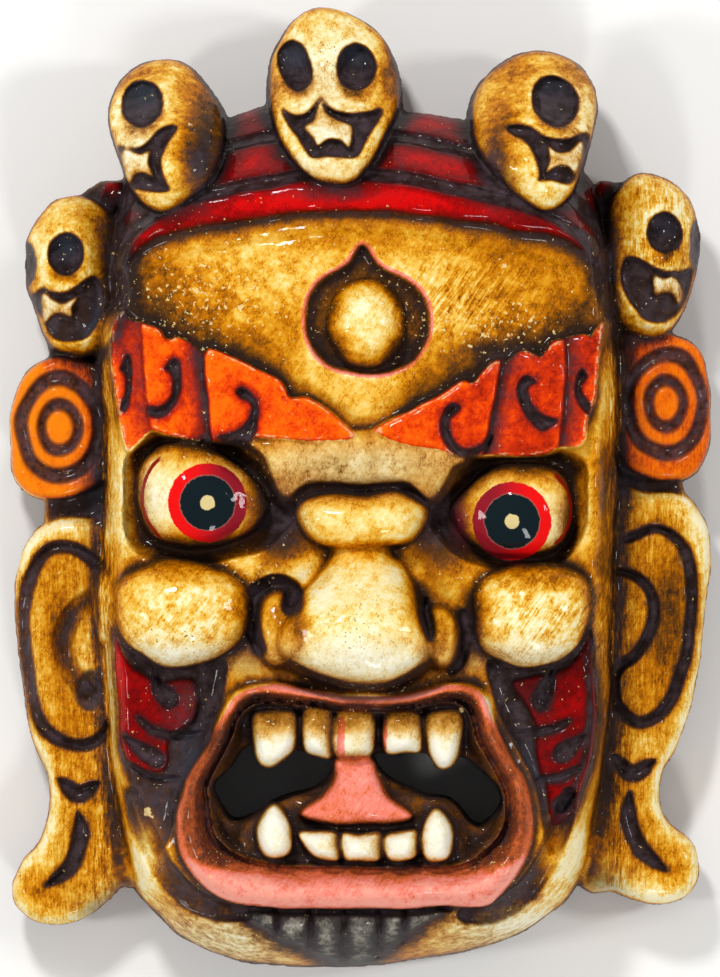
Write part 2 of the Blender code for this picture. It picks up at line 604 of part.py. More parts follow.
def squared_oval(half, middle, squareness, count=56):
    """Points round an oval with fuller corners than an ellipse has."""
    turn = np.arange(count) * 2 * np.pi / count
    power = 2 / squareness
    x = half[0] * np.sign(np.cos(turn)) * np.abs(np.cos(turn)) ** power
    y = half[1] * np.sign(np.sin(turn)) * np.abs(np.sin(turn)) ** power
    return np.column_stack([x, y + middle])


def hollow_cutter(collection):
    """The wearer's side: a deep bowl with room for the nose."""
    shape = bmesh.new()
    bmesh.ops.create_uvsphere(shape, u_segments=36, v_segments=18, radius=1)
    for vert in shape.verts:
        x, y, z = vert.co
        flat = max(np.hypot(x, y), 1e-9)
        full = (np.abs(x) ** HOLLOW_SQUARENESS + np.abs(y) ** HOLLOW_SQUARENESS) ** (1 / HOLLOW_SQUARENESS)
        swell = flat / max(full, 1e-9)
        vert.co.x = x * swell * HOLLOW_HALF[0] * MM
        vert.co.y = (y * swell * HOLLOW_HALF[1] + HOLLOW_MIDDLE) * MM
        rise = np.sign(z) * np.abs(z) ** 0.75
        nose = HOLLOW_NOSE_ROOM * mound(vert.co.x / MM, vert.co.y / MM, (0, -52), (30, 34))
        forehead = HOLLOW_FOREHEAD_ROOM * mound(vert.co.x / MM, vert.co.y / MM, (0, 75), (80, 50))
        vert.co.z = (HOLLOW_ROOF * rise + (nose + forehead) * (z > 0)) * MM
    return add_object("hollow_cutter", shape, collection)


def back_cutter(collection):
    """Everything behind the back: flat under the head, sloping up outside it, most at the crown."""
    shape = bmesh.new()
    rings = []
    reach = np.array(BACK_HALF) * BACK_SLOPE_REACH
    levels = ((BACK_HALF, 0.0, 0.0, True),
              (reach, BACK_SLOPE_RISE, BACK_CROWN_RISE, False),
              (reach, 2 * BELOW, 0.0, True))
    for half, height, crown, capped in levels:
        places = squared_oval(half, BACK_MIDDLE, BACK_SQUARENESS)
        made = bmesh.ops.create_circle(shape, cap_ends=capped, segments=len(places), radius=1)
        for vert, (x, y) in zip(made["verts"], places):
            towards_crown = ramp(0.2, 1.0, (y - BACK_MIDDLE) / half[1])
            vert.co = (x * MM, y * MM, (height + crown * towards_crown) * MM)
        rings.append(list({edge for vert in made["verts"] for edge in vert.link_edges}))
    for lower, upper in zip(rings, rings[1:]):
        bmesh.ops.bridge_loops(shape, edges=lower + upper)
    return add_object("back_cutter", shape, collection)


def painted_wood():
    material = bpy.data.materials.new("painted_wood")
    material.use_nodes = True
    shader = material.node_tree.nodes["Principled BSDF"]
    shader.inputs["Base Color"].default_value = (0.62, 0.43, 0.19, 1)
    shader.inputs["Roughness"].default_value = 0.35
    shader.inputs["Metallic"].default_value = 0.0
    return material


def triangle_count(item):
    """How many triangles the object has after its modifiers so far."""
    seen = item.evaluated_get(bpy.context.evaluated_depsgraph_get())
    count = sum(len(face.vertices) - 2 for face in seen.to_mesh().polygons)
    seen.to_mesh_clear()
    return count


def cut(item, cutter):
    cutter.hide_render = True
    cutter.display_type = "WIRE"
    boolean = item.modifiers.new("cut " + cutter.name, "BOOLEAN")
    boolean.operation = "DIFFERENCE"
    boolean.solver = "EXACT"
    boolean.object = cutter


def main():
    clear_scene()
    parts = new_collection("protector_mask")
    cutters = new_collection("cutters")
    mask = carved_block(parts)
    even = mask.modifiers.new("even out the walls", "REMESH")
    even.mode = "VOXEL"
    even.voxel_size = EVEN_STEP * MM
    smooth = mask.modifiers.new("soften the steps", "SMOOTH")
    smooth.iterations = 2
    facets = mask.modifiers.new("keep fewer facets", "DECIMATE")
    facets.ratio = FRONT_FACETS / triangle_count(mask)
    cut(mask, back_cutter(cutters))
    cut(mask, hollow_cutter(cutters))
    mask.data.materials.append(painted_wood())
    mask.data.shade_smooth()


main()
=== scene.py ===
# %% [markdown]
# # A carved and painted protector mask
# The real mask is one block of light wood. A carver cut the face, the crown of skulls, the ears and
# the ear discs from its front and hollowed its back, and a painter then laid on flat paints, rubbed
# brown stain into every cut and varnished the whole to a gloss. The back stayed plain wood. This
# script works in that order: first the carving, as one solid mesh, then where each paint lies, then
# the finish, the stage, the lights and the camera.

# %% The frame that everything is built on
import math

import bmesh
import bpy
import numpy as np
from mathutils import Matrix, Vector


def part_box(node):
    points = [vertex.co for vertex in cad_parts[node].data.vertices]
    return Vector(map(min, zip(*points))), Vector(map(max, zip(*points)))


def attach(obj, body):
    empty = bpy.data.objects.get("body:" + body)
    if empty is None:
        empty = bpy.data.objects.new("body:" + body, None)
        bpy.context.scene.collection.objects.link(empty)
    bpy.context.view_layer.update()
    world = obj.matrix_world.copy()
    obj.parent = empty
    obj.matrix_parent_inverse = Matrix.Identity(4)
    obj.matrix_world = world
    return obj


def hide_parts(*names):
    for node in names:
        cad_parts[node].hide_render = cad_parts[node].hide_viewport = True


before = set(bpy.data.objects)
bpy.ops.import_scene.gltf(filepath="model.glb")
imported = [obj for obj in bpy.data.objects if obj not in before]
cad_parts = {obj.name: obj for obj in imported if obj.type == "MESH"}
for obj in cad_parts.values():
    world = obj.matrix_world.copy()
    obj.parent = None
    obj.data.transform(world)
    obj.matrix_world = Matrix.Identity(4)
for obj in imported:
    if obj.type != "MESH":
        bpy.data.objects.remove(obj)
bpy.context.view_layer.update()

scene = bpy.context.scene
low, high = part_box("mask")
print("mask node, metres:", [round(side, 4) for side in high - low])

# %% [markdown]
# ## Units and the carver's drawing
# A carver works from a drawing on the face of the block. Here the drawing is in millimetres with its
# middle in the middle of the mask: X to the right, Y towards the crown, Z out of the face. One
# drawing millimetre is worked out from the height of the packed mask, so the carving always fits it.

# %% Units and sizes of the block
DRAWN_HEIGHT = 425.2
MM = (high.y - low.y) / DRAWN_HEIGHT

CARVING_STEP = 0.7
HALF_WIDTH = 162.0
HALF_HEIGHT = 220.0
BELOW = -24.0

FACE_HEIGHT = 94.0
FACE_FALL_ACROSS = 7.0
FACE_FALL_ALONG = 9.0
print("one drawing millimetre is", round(MM * 1000, 4), "mm")

# %% [markdown]
# ## The carver's hand: curves, domes and ramps
# Three small formulas give nearly every section on the mask. A smooth line runs through a few drawn
# points, a dome rounds a form over, and a ramp goes gently from one level to another. A mound is a
# soft bump, used for swellings and later for sprayed paint.


# %% Curves and sections
def smooth_line(points, closed, steps=5):
    """Points along the smooth curve that runs through the given ones."""
    p = np.array(points, float)
    if closed:
        p = np.vstack([p[-1:], p, p[:2]])
    else:
        p = np.vstack([2 * p[0] - p[1], p, 2 * p[-1] - p[-2]])
    t = np.arange(steps)[:, None] / steps
    runs = []
    for a, b, c, d in zip(p, p[1:], p[2:], p[3:]):
        bend = (2 * a - 5 * b + 4 * c - d) * t**2 + (3 * b - a - 3 * c + d) * t**3
        runs.append(b + 0.5 * ((c - a) * t + bend))
    return np.vstack(runs if closed else runs + [p[-2:-1]])


def dome(share, power=2.0):
    """A rounded rise from 0 to 1 as share goes from 0 to 1."""
    return (1 - (1 - np.clip(share, 0, 1)) ** power) ** (1 / power)


def ramp(start, end, value):
    """A smooth step from 0 at start to 1 at end."""
    t = np.clip((value - start) / (end - start), 0, 1)
    return t * t * (3 - 2 * t)


def soft_max(a, b, width):
    """The higher of two heights, with the crease between them filled."""
    share = np.clip(0.5 + 0.5 * (a - b) / width, 0, 1)
    return b + (a - b) * share + width * share * (1 - share)


def blur(field, reach):
    """A field averaged over a growing stride, up to reach cells."""
    for stride in range(1, reach + 1):
        for axis in (0, 1):
            sides = np.roll(field, stride, axis) + np.roll(field, -stride, axis)
            field = 0.5 * field + 0.25 * sides
    return field


def cells(millimetres):
    """A distance as a whole number of carving steps, at least one."""
    return max(1, round(millimetres / CARVING_STEP))


print("a quarter of the way in, a dome stands", round(float(dome(0.25)), 2), "of its height")

# %% [markdown]
# ## The block as a field of heights
# Everything on the front of such a mask can be seen from straight ahead, because the carver's tools
# came from there. So the front is kept as one height for each point of a fine grid. Raising a form
# or cutting a groove is then one line of arithmetic, and it is quick to redo. The same outlines say
# where the painter's brush went, so each carving step also leaves a mark for the paint and a shade: a
# tuple of the stain in the middle of a form, the stain at its rim and how far in that reaches, then
# the stain round its foot and how far out that reaches, and the dark paint in the crease.


# %% The carving tools
CREASE_REACH = 1.9


class Carving:
    """Heights over the grid, the stain and dark paint on them, and the marks of the paints."""

    def __init__(self, x, y):
        self.x = x
        self.y = y
        self.z = np.full(x.shape, BELOW)
        self.edge_depth = np.full(x.shape, -99.0)
        self.stain = np.full(x.shape, 0.3)
        self.smoke = np.zeros(x.shape)
        self.marks = {}
        across = (x / 105) ** 2
        along = ((y - 20) / 200) ** 2
        self.face = FACE_HEIGHT - FACE_FALL_ACROSS * across - FACE_FALL_ALONG * along

    def window(self, line, margin):
        """The rows and columns of the grid near a line."""
        start = line.min(0) - margin
        end = line.max(0) + margin
        columns = np.flatnonzero((self.x.max(0) >= start[0]) & (self.x.min(0) <= end[0]))
        rows = np.flatnonzero((self.y.max(1) >= start[1]) & (self.y.min(1) <= end[1]))
        return slice(rows[0], rows[-1] + 1), slice(columns[0], columns[-1] + 1)

    def inside(self, points, margin=16.0, ridge=4.0):
        """Distance inside an outline, negative outside, with its middle ridge rounded off."""
        line = smooth_line(points, True)
        near = self.window(line, margin)
        x = self.x[near]
        y = self.y[near]
        best = np.full(x.shape, 1e6)
        odd = np.zeros(x.shape, bool)
        for a, b in zip(line, np.roll(line, -1, 0)):
            run = b - a
            t = np.clip(((x - a[0]) * run[0] + (y - a[1]) * run[1]) / (run @ run + 1e-9), 0, 1)
            best = np.minimum(best, (x - a[0] - t * run[0]) ** 2 + (y - a[1] - t * run[1]) ** 2)
            if a[1] != b[1]:
                crossed = x < a[0] + (y - a[1]) * run[0] / run[1]
                odd ^= ((a[1] > y) != (b[1] > y)) & crossed
        depth = np.where(odd, 1, -1) * np.sqrt(best)
        if ridge:
            round_top = blur(np.maximum(depth, 0), cells(ridge))
            share = ramp(0, 1.5 * ridge, depth)
            depth = np.where(depth > 0, depth + (round_top - depth) * share, depth)
        field = np.full(self.x.shape, -99.0)
        field[near] = depth
        return field

    def beside(self, points, margin=14.0):
        """Distance to an open line, and how far along it, 0 to 1, the nearest point is."""
        line = smooth_line(points, False)
        near = self.window(line, margin)
        x = self.x[near]
        y = self.y[near]
        best = np.full(x.shape, 1e6)
        share = np.zeros(x.shape)
        for i, (a, b) in enumerate(zip(line, line[1:])):
            run = b - a
            t = np.clip(((x - a[0]) * run[0] + (y - a[1]) * run[1]) / (run @ run + 1e-9), 0, 1)
            far = np.hypot(x - a[0] - t * run[0], y - a[1] - t * run[1])
            share = np.where(far < best, (i + t) / (len(line) - 1), share)
            best = np.minimum(best, far)
        distance = np.full(self.x.shape, 99.0)
        along = np.zeros(self.x.shape)
        distance[near] = best
        along[near] = share
        return distance, along

    def oval(self, x, y, half_width, half_height, lean=0.0):
        """The round section of an oval: 1 at its middle, 0 on and outside its rim."""
        shift = self.x - x - lean * (self.y - y)
        squares = (shift / half_width) ** 2 + ((self.y - y) / half_height) ** 2
        return np.sqrt(np.clip(1 - squares, 0, 1))

    def mound(self, x, y, reach_x, reach_y=None):
        """A soft bump of height 1."""
        reach_y = reach_y or reach_x
        return np.exp(-(((self.x - x) / reach_x) ** 2) - ((self.y - y) / reach_y) ** 2)

    def mark(self, paint, depth):
        """Add an area, as distance inside its edge, to a paint's mark."""
        self.marks[paint] = np.maximum(self.marks.get(paint, -99.0), depth)

    def unmark(self, paint, depth):
        """Take an area out of a paint's mark."""
        self.marks[paint] = np.minimum(self.marks[paint], -depth)

    def darken(self, smoke, stain):
        """Lay dark paint and stain where each is stronger than what is there."""
        self.smoke = np.maximum(self.smoke, smoke)
        self.stain = np.maximum(self.stain, stain)

    def shade(self, depth, middle, rim, reach, foot=0.7, foot_reach=5.0, crease=0.7):
        """Stain on a form, from middle to rim, then round its foot, with dark paint in the crease."""
        on_wood = ramp(-0.5, 1.5, self.edge_depth)
        here = np.maximum(ramp(-0.7, 0.9, depth), (1 - on_wood) * ramp(-6, -5, depth))
        outward = np.minimum(depth + 0.6, 0)
        round_foot = foot * np.exp(outward / foot_reach)
        self.darken(on_wood * crease * np.exp(outward / CREASE_REACH), on_wood * round_foot)
        left_on = middle + (rim - middle) * np.exp(-np.maximum(depth, 0) / reach)
        self.stain = self.stain * (1 - here) + left_on * here
        self.smoke = self.smoke * (1 - here)

    def raise_form(self, points, edge, rise, rounded, shade, foot=0.0, wall=1.8, soft=0.0, ridge=4.0):
        """Raise a form: a wall from its foot to its edge, then a rise that is rounded over."""
        depth = self.inside(points, ridge=ridge)
        self.shade(depth, *shade)
        top = edge + rise * dome(depth / rounded)
        top = np.where(depth < 0, edge + (edge - foot) * np.maximum(depth, -60) / wall, top)
        self.z = soft_max(top, self.z, soft) if soft else np.maximum(self.z, top)
        self.edge_depth = np.maximum(self.edge_depth, depth)
        return depth

    def cut(self, points, deep, rounded, dark=0.0):
        """Cut an area down, with rounded sides, and paint it dark."""
        depth = self.inside(points, ridge=0)
        self.z = self.z - deep * dome(depth / rounded)
        if dark:
            self.darken(dark * ramp(-0.7, 0.7, depth), 0.8 * dark * np.exp(np.minimum(depth, 0) / 2.0))
        return depth

    def gouge(self, points, width, deep, taper=0.0, blob=0.0, dark=0.92, drop=False):
        """Cut a round groove that narrows to its ends by taper, or swells as a drop or a blob."""
        distance, along = self.beside(points)
        half = 0.5 * width * (1 - taper * np.abs(2 * along - 1) ** 3)
        if drop:
            half = 0.5 * width * (0.3 + 0.7 * ramp(0.0, 0.9, along))
        if blob:
            half = half + (blob - 0.5 * width) * (1 - ramp(0.0, 0.25, along))
        self.z = self.z - deep * dome(1 - distance / half)
        inward = half - distance
        self.darken(dark * ramp(-0.8, 0.8, inward), 0.85 * dark * np.exp(np.minimum(inward, 0) / 2.2))


print("carving tools:", ", ".join(name for name in vars(Carving) if not name.startswith("_")))

# %% [markdown]
# ## The block on the bench
# A hand never cuts quite on the line. Moving a whole finished mesh would also bend its small parts,
# so the drawing itself wobbles: each point of the grid reads it a third of a millimetre off, and
# neighbours are off by nearly the same.


# %% Lay the drawing on the block
WOBBLE = 0.35


def random_field(seed, shape, reach):
    """A smooth random field of about unit size; reach is its grain in cells."""
    noise = np.random.default_rng(seed).normal(size=shape)
    smooth = blur(noise, reach)
    return smooth / smooth.std()


columns = round(2 * HALF_WIDTH / CARVING_STEP) + 1
rows = round(2 * HALF_HEIGHT / CARVING_STEP) + 1
grid_x, grid_y = np.meshgrid(
    np.linspace(-HALF_WIDTH, HALF_WIDTH, columns),
    np.linspace(-HALF_HEIGHT, HALF_HEIGHT, rows),
)
carving = Carving(
    grid_x + WOBBLE * random_field(1, grid_x.shape, cells(4)),
    grid_y + WOBBLE * random_field(2, grid_x.shape, cells(4)),
)
print("drawing grid", grid_x.shape, "with a hand wobble of", WOBBLE, "mm")

# %% [markdown]
# ## Ears and ear discs
# The ears and the big round ear ornaments are carved on a thin flange at each side, lower than the
# face. Flat forms with rounded edges come first, then the scrolls are cut in with a gouge. The discs
# are two turned-looking rings, but cut by hand, so they are ovals and not quite true.

# %% Outlines of the ears and discs
FLANGES = [
    [(-100, 125), (-139, 112), (-138, 62), (-135, 30), (-139, -9), (-136, -40), (-100, -60)],
    [(100, 125), (142, 112), (138, 70), (135, 30), (142, -1), (136, -40), (100, -60)],
]
EARS = [
    [(-108, -16), (-120, -13), (-132, -13), (-144, -20), (-151, -34), (-152.5, -48), (-151, -72),
     (-147, -100), (-142, -117), (-138, -127), (-137, -141), (-141, -156), (-149, -166),
     (-154, -176), (-151, -186), (-142, -191.5), (-131, -192.5), (-118, -187), (-107, -177),
     (-96, -168), (-98, -90)],
    [(108, -4), (128, -2), (141, -2), (149, -9), (154, -20), (154, -36), (152, -62), (147, -92),
     (141, -113), (134, -126), (132, -139), (136, -149), (146, -157), (149, -165), (148, -174),
     (142, -181), (130, -183.5), (114, -179), (97, -170), (98, -90)],
]
EAR_SCROLLS = [
    [(-110, -42), (-116, -33), (-127, -26), (-139, -28), (-147, -42), (-148.5, -62), (-146, -88),
     (-141, -104), (-132, -112), (-121, -113), (-112, -106), (-110, -96)],
    [(118, -22), (131, -18), (141, -24), (146, -38), (146.8, -58), (142.6, -79), (135.5, -96),
     (124, -103), (114, -97), (111, -87), (115, -78), (124, -71), (129.5, -60), (129, -48),
     (122, -39), (112, -36)],
]
SCROLL_WIDTHS = (5.6, 5.0)
EAR_SHELL = [(-111, -47), (-122, -51), (-129.5, -60), (-131, -72), (-127, -83), (-121, -90)]
# The pierced point of the ear: X, Y, half width, half height.
EAR_POINT = (-120, -89, 6.5, 9.5)
LOBE_NOTCHES = [
    [(-133, -129), (-124.5, -135), (-115, -130)],
    [(-125, -143), (-123.5, -155), (-128, -167), (-139, -175)],
    [(111, -118), (120, -126), (131, -120)],
    [(119.5, -134), (119, -148), (124.5, -160), (136, -169)],
]
# Each disc: its outline, its middle and how much it is dimmed by stain.
DISCS = [
    ([(-138, -5), (-148, -1), (-153.5, 8), (-154, 26), (-152.5, 42), (-147, 51), (-136, 57.5),
      (-122, 57), (-112, 50), (-110, 26), (-112, 6), (-122, -2)], (-132.5, 27), 0.04),
    ([(138, 4), (149, 8), (154, 20), (155, 36), (154, 52), (150, 61), (140, 67), (128, 71),
      (114, 70), (112, 36), (116, 12), (127, 5)], (135, 37.5), 0.24),
]
DISC_STRETCH = 1.27
# Each ring groove of a disc: its radius and its width.
DISC_RINGS = ((16.9, 5.8), (7.9, 4.6))
print("ear scrolls:", len(EAR_SCROLLS), "lobe notches:", len(LOBE_NOTCHES), "discs:", len(DISCS))

# %% Carve the ears and discs
FLANGE_EDGE = 26
FLANGE_SHADE = (0.8, 0.8, 5)
EAR_EDGE = 29
EAR_SHADE = (0.38, 0.1, 5, 0.85, 5, 0.7)
DISC_EDGE = 37
CUT_DEPTH = 5
RING_DEPTH = 4

for outline in FLANGES:
    depth = carving.raise_form(outline, FLANGE_EDGE, 3, 6, FLANGE_SHADE)
    carving.smoke = np.maximum(carving.smoke, 0.6 * ramp(-1, 1, depth))
for outline in EARS:
    carving.raise_form(outline, EAR_EDGE, 9, 7, EAR_SHADE)
for line, width in zip(EAR_SCROLLS, SCROLL_WIDTHS):
    carving.gouge(line, width, CUT_DEPTH, taper=0.25)
shell = carving.beside(EAR_SHELL, margin=30)[0]
carving.gouge(EAR_SHELL, 10, 4.5, taper=0.2, dark=0.0)
in_ear = ramp(0, 2, carving.inside(EARS[0]))
carving.darken(0.5 * np.exp(-((shell / 4.0) ** 2)) * in_ear, 0.68 * np.exp(-shell / 5) * in_ear)
ear_point = carving.oval(*EAR_POINT)
carving.z = carving.z - 4 * ear_point
carving.smoke = np.maximum(carving.smoke, 0.95 * ramp(0.05, 0.4, ear_point))
for line in LOBE_NOTCHES:
    carving.gouge(line, 7.4, CUT_DEPTH, taper=0.85, dark=0.96)
for outline, middle, dimmed in DISCS:
    depth = carving.raise_form(outline, DISC_EDGE, 5, 4, (dimmed, dimmed + 0.1, 2.0, 0.9, 4, 0.9))
    carving.mark("orange", depth)
    radius = np.hypot(carving.x - middle[0], (carving.y - middle[1]) / DISC_STRETCH)
    for ring, width in DISC_RINGS:
        groove = (width / 2 - np.abs(radius - ring)) * (depth > 0)
        carving.z = carving.z - RING_DEPTH * dome(groove * 2 / width)
        carving.smoke = np.maximum(carving.smoke, 0.95 * ramp(-0.5, 0.5, groove) * (depth > 0.3))
print("ears and discs stand", round(carving.z.max(), 1), "mm high")

# %% [markdown]
# ## The head
# The head is a rounded block: steep sides, a rounder jaw and a crown that falls away to the back.
# One outline and one dome make it, and the dome is wider at the crown and the jaw.

# %% Carve the head
HEAD = [
    (-113, 75), (-114.5, 20), (-115, -60), (-112, -120), (-106, -160), (-100, -177), (-91, -189),
    (-77, -201), (-60, -208), (-36, -212), (0, -212), (24, -209.5), (52, -205), (69, -199), (84, -189),
    (95, -178), (102, -165), (108, -130), (113, -80), (115, -20), (116, 40), (114, 80), (109, 118),
    (98, 143), (75, 156), (49, 163), (17, 168.5), (-18, 171), (-40, 170), (-61, 164), (-85, 154),
    (-103, 141), (-111, 115),
]
SIDE_ROUNDING = 12
CROWN_ROUNDING = 44
JAW_ROUNDING = 12
FOREHEAD_SWELL = 8

at_crown = ramp(100, 150, carving.y)
at_jaw = ramp(120, 175, -carving.y)
head_depth = carving.inside(HEAD, margin=30, ridge=0)
roundness = 1.7 + 0.4 * at_crown + 0.3 * at_jaw
rounding = SIDE_ROUNDING + CROWN_ROUNDING * at_crown + JAW_ROUNDING * at_jaw
head_body = carving.face * dome(head_depth / rounding, roundness)
carving.z = np.where(head_depth > 0, np.maximum(carving.z, head_body), carving.z)
carving.shade(head_depth, 0.2, 0.3, 8.0, 0.85, 5.0, 0.7)
carving.unmark("orange", head_depth + 1.0)
carving.z = carving.z + FOREHEAD_SWELL * carving.mound(-2, 86, 75, 42) * ramp(0, 12, head_depth)
carving.edge_depth = np.maximum(carving.edge_depth, head_depth)
print("the face stands", round(carving.z.max(), 1), "mm high")

# %% [markdown]
# ## Headband and third eye
# A red band in three rolls goes round the forehead, cut deep below its lowest roll so that it
# stands off the brow. Under it sits the third eye: a drop-shaped hollow with a ball in it.

# %% Outlines of the headband and the third eye
BAND = [
    (-113, 74), (-107, 91), (-99, 101), (-86, 110), (-60, 115.5), (-25, 120), (0, 120.5), (25, 119.5),
    (50, 116), (78, 111.5), (92, 107), (104, 98), (110, 86), (114, 74), (122, 100), (116, 130),
    (100, 152), (75, 164), (49, 172), (17, 178), (-18, 181), (-40, 180), (-61, 174), (-85, 165),
    (-105, 150), (-119, 118),
]
# The first points of the band's outline are its lower edge.
BAND_LOWER_EDGE = BAND[:14]
BAND_GROOVES = [
    [(-113, 96), (-104, 110), (-85, 123), (-60, 130), (-35, 135), (-12, 138), (20, 136), (50, 129),
     (75, 123), (96, 111), (110, 92)],
    [(-110, 118), (-98, 132), (-80, 143), (-60, 149.5), (-40, 154), (-12, 156), (20, 154), (50, 147),
     (75, 138), (95, 126), (109, 108)],
]
THIRD_EYE = [
    (1, 107), (-6, 98), (-17, 90.5), (-23, 82), (-24.5, 72), (-22, 62), (-15, 54), (-5, 50.5),
    (3, 49.5), (15, 51), (24, 56), (30, 65), (31, 74), (28, 84), (21, 91.5), (9, 98),
]
THIRD_EYE_BALL = (3, 72, 17.5, 19.5)
print("band grooves:", len(BAND_GROOVES))

# %% Carve the headband and the third eye
BAND_RISE = 7
BAND_TOP_EDGE = 150

band_depth = carving.inside(BAND, margin=14, ridge=0)
carving.z = carving.z + BAND_RISE * dome(band_depth / 7)
below_band = carving.beside([(x, y - 4.0 - 0.03 * abs(x)) for x, y in BAND_LOWER_EDGE])[0]
carving.z = carving.z - 2.2 * dome(1 - below_band / 5.0)
carving.shade(band_depth, 0.03, 0.46, 2.5, 0.8, 5.0, 0.8)
carving.mark("red", band_depth)
top_strip = np.minimum(3.4 - band_depth, 3 - np.abs(np.abs(carving.x + 6) - 43) * 0.2)
top_strip = np.where(carving.y > BAND_TOP_EDGE, top_strip, -4)
carving.unmark("red", top_strip)
carving.darken(0, 0.34 * ramp(-1, 1, top_strip))
for line in BAND_GROOVES:
    carving.gouge(line, 5.6, 4.5, dark=0.8)
third_eye_depth = carving.cut(THIRD_EYE, 7, 5)
ball = carving.oval(*THIRD_EYE_BALL)
lifted = np.maximum(carving.z, carving.face + 2 + 14 * ball)
carving.z = np.where(ball > 0, lifted, carving.z)
on_ball = ramp(0.08, 0.42, ball)
in_groove = ramp(-0.4, 1.6, third_eye_depth) * (1 - on_ball)
carving.darken(0.3 * in_groove * ramp(7.5, 2.5, third_eye_depth),
               in_groove * (0.6 + 0.26 * ramp(7.5, 2.0, third_eye_depth)))
carving.stain = carving.stain * (1 - on_ball) + on_ball * (0.10 + 0.5 * (1 - ramp(0.3, 0.85, ball)))
carving.mark("pink", 0.9 - np.abs(third_eye_depth + 0.5))
print("the third eye stands", round((carving.z * (ball > 0)).max(), 1), "mm high")

# %% [markdown]
# ## Flames on the cheeks, jaw and beard
# Beside the mouth the cheeks burn: red tongues with dark drops cut between them, let a little into
# the face. A wide groove follows the jaw, and the beard is a small ribbed wedge on the chin.

# %% Outlines of the flames, the jaw grooves and the beard
FLAME_BEDS = [
    [(-107, -62), (-100, -68), (-84, -70), (-68, -70), (-58, -76), (-60, -92), (-65, -104),
     (-71, -118), (-79, -132), (-82, -148), (-90, -162), (-97, -140), (-105, -118), (-107, -90)],
    [(102, -62), (92, -70), (80, -72), (66, -72), (56, -76), (60, -94), (65, -106), (71, -118),
     (78, -136), (80, -150), (85, -162), (94, -146), (101, -124), (104, -92)],
]
FLAMES = [
    [(-107.2, -62.5), (-103.6, -72), (-99, -79), (-92, -82.5), (-86, -84), (-78, -82.5), (-72, -84.5),
     (-70, -92), (-72, -101), (-78, -106), (-84, -111), (-84, -118), (-86.5, -123.5), (-92, -124),
     (-97, -122), (-103.5, -117), (-106, -103), (-107.2, -83)],
    [(101, -65), (95.5, -74), (87, -80), (76, -82), (67, -84), (69.5, -92), (74, -99), (77, -106),
     (77, -114), (78, -125), (81, -131), (83, -144), (84.5, -149.5), (93, -143.5), (98, -131),
     (102.5, -114), (104, -97), (102.5, -76)],
]
# Each dark cut in the flames: its line, its widest width, its depth, and whether it ends in a drop.
FLAME_CUTS = [
    ([(-90, -78), (-88.5, -86), (-84.5, -92)], 8.6, 5, True),
    ([(-97, -100.5), (-90, -106), (-80, -108.5), (-66, -107.5)], 3.8, 3, False),
    ([(-102.5, -108.5), (-97, -113), (-89.5, -118)], 8.0, 4, True),
    ([(-100, -121.5), (-94, -125.5), (-86, -127.5), (-79, -126.5)], 3.6, 3, False),
    ([(84, -77), (81.5, -86), (79.5, -93.5)], 9.0, 5, True),
    ([(92, -101.5), (84, -105.8), (68, -107)], 4.2, 3, False),
    ([(98.5, -109), (94, -112.5), (88.5, -116.5)], 7.6, 4, True),
    ([(97, -121.5), (88, -126.8), (76, -128.3)], 4.0, 3, False),
    ([(94, -134), (91, -137), (87.5, -139.5)], 7.6, 4, True),
    ([(100, -72), (100.6, -92), (100, -108), (97, -122), (93.3, -134)], 2.0, 2, False),
]
JAW_GROOVES = [
    [(-100, -134), (-96, -146), (-89, -163), (-79, -176), (-64, -185), (-50, -187)],
    [(92, -134), (87, -150), (82, -163), (73, -176), (60, -185), (46, -187)],
]
BEARD = [
    (-51, -186), (-36, -196), (-25, -202), (-12, -209), (-4, -211.5), (4, -208), (16, -200),
    (28, -191), (37, -185), (0, -183.5),
]
BEARD_TOP = [(-48, -184.5), (0, -185.5), (40, -184.5)]
# X of each groove between two ribs of the beard.
BEARD_RIBS = (-36, -22, -7.5, 8, 19)
print("flames:", len(FLAMES), "with", len(FLAME_CUTS), "cuts; beard ribs:", len(BEARD_RIBS) + 1)

# %% Carve the flames, the jaw grooves and the beard
for outline in FLAME_BEDS:
    carving.cut(outline, 7, 6, dark=0.9)
for outline, side in zip(FLAMES, (-1, 1)):
    depth = carving.inside(outline)
    carving.z = carving.z + 4 * dome(depth / 3)
    toward_mouth = (0.45 - 0.3 * side) * ramp(92, 68, side * carving.x)
    carving.shade(depth, 0.3, 0.5, 2.0, 0.9, 3.0, 0.9)
    carving.mark("red", depth)
    carving.smoke = np.where(depth > 0, np.maximum(carving.smoke, toward_mouth), carving.smoke)
for line, width, deep, drop in FLAME_CUTS:
    carving.gouge(line, width, deep, taper=0.6, dark=0.95, drop=drop)
for line in JAW_GROOVES:
    carving.gouge(line, 11, 7, taper=0.4, dark=0.8)
carving.gouge(BEARD_TOP, 4, 5, taper=0.2)
beard_depth = carving.inside(BEARD)
carving.z = carving.z + 3 * dome(beard_depth / 2.5)
carving.shade(beard_depth, 0.15, 0.6, 2.0, 0.9, 6.0, 0.9)
carving.mark("slate", beard_depth)
for x in BEARD_RIBS:
    carving.gouge([(x, -183), (x, -190), (x, -212 + 0.55 * abs(x + 4))], 3.0, 3.5, dark=0.9)
print("the beard stands", round(carving.z[carving.marks["slate"] > 0].max(), 1), "mm high")

# %% [markdown]
# ## Eyes
# The eyes bulge from deep sockets, so the socket is hollowed first and the ball is raised inside
# it. The ball's outline is an almond that runs to a point at the nose.

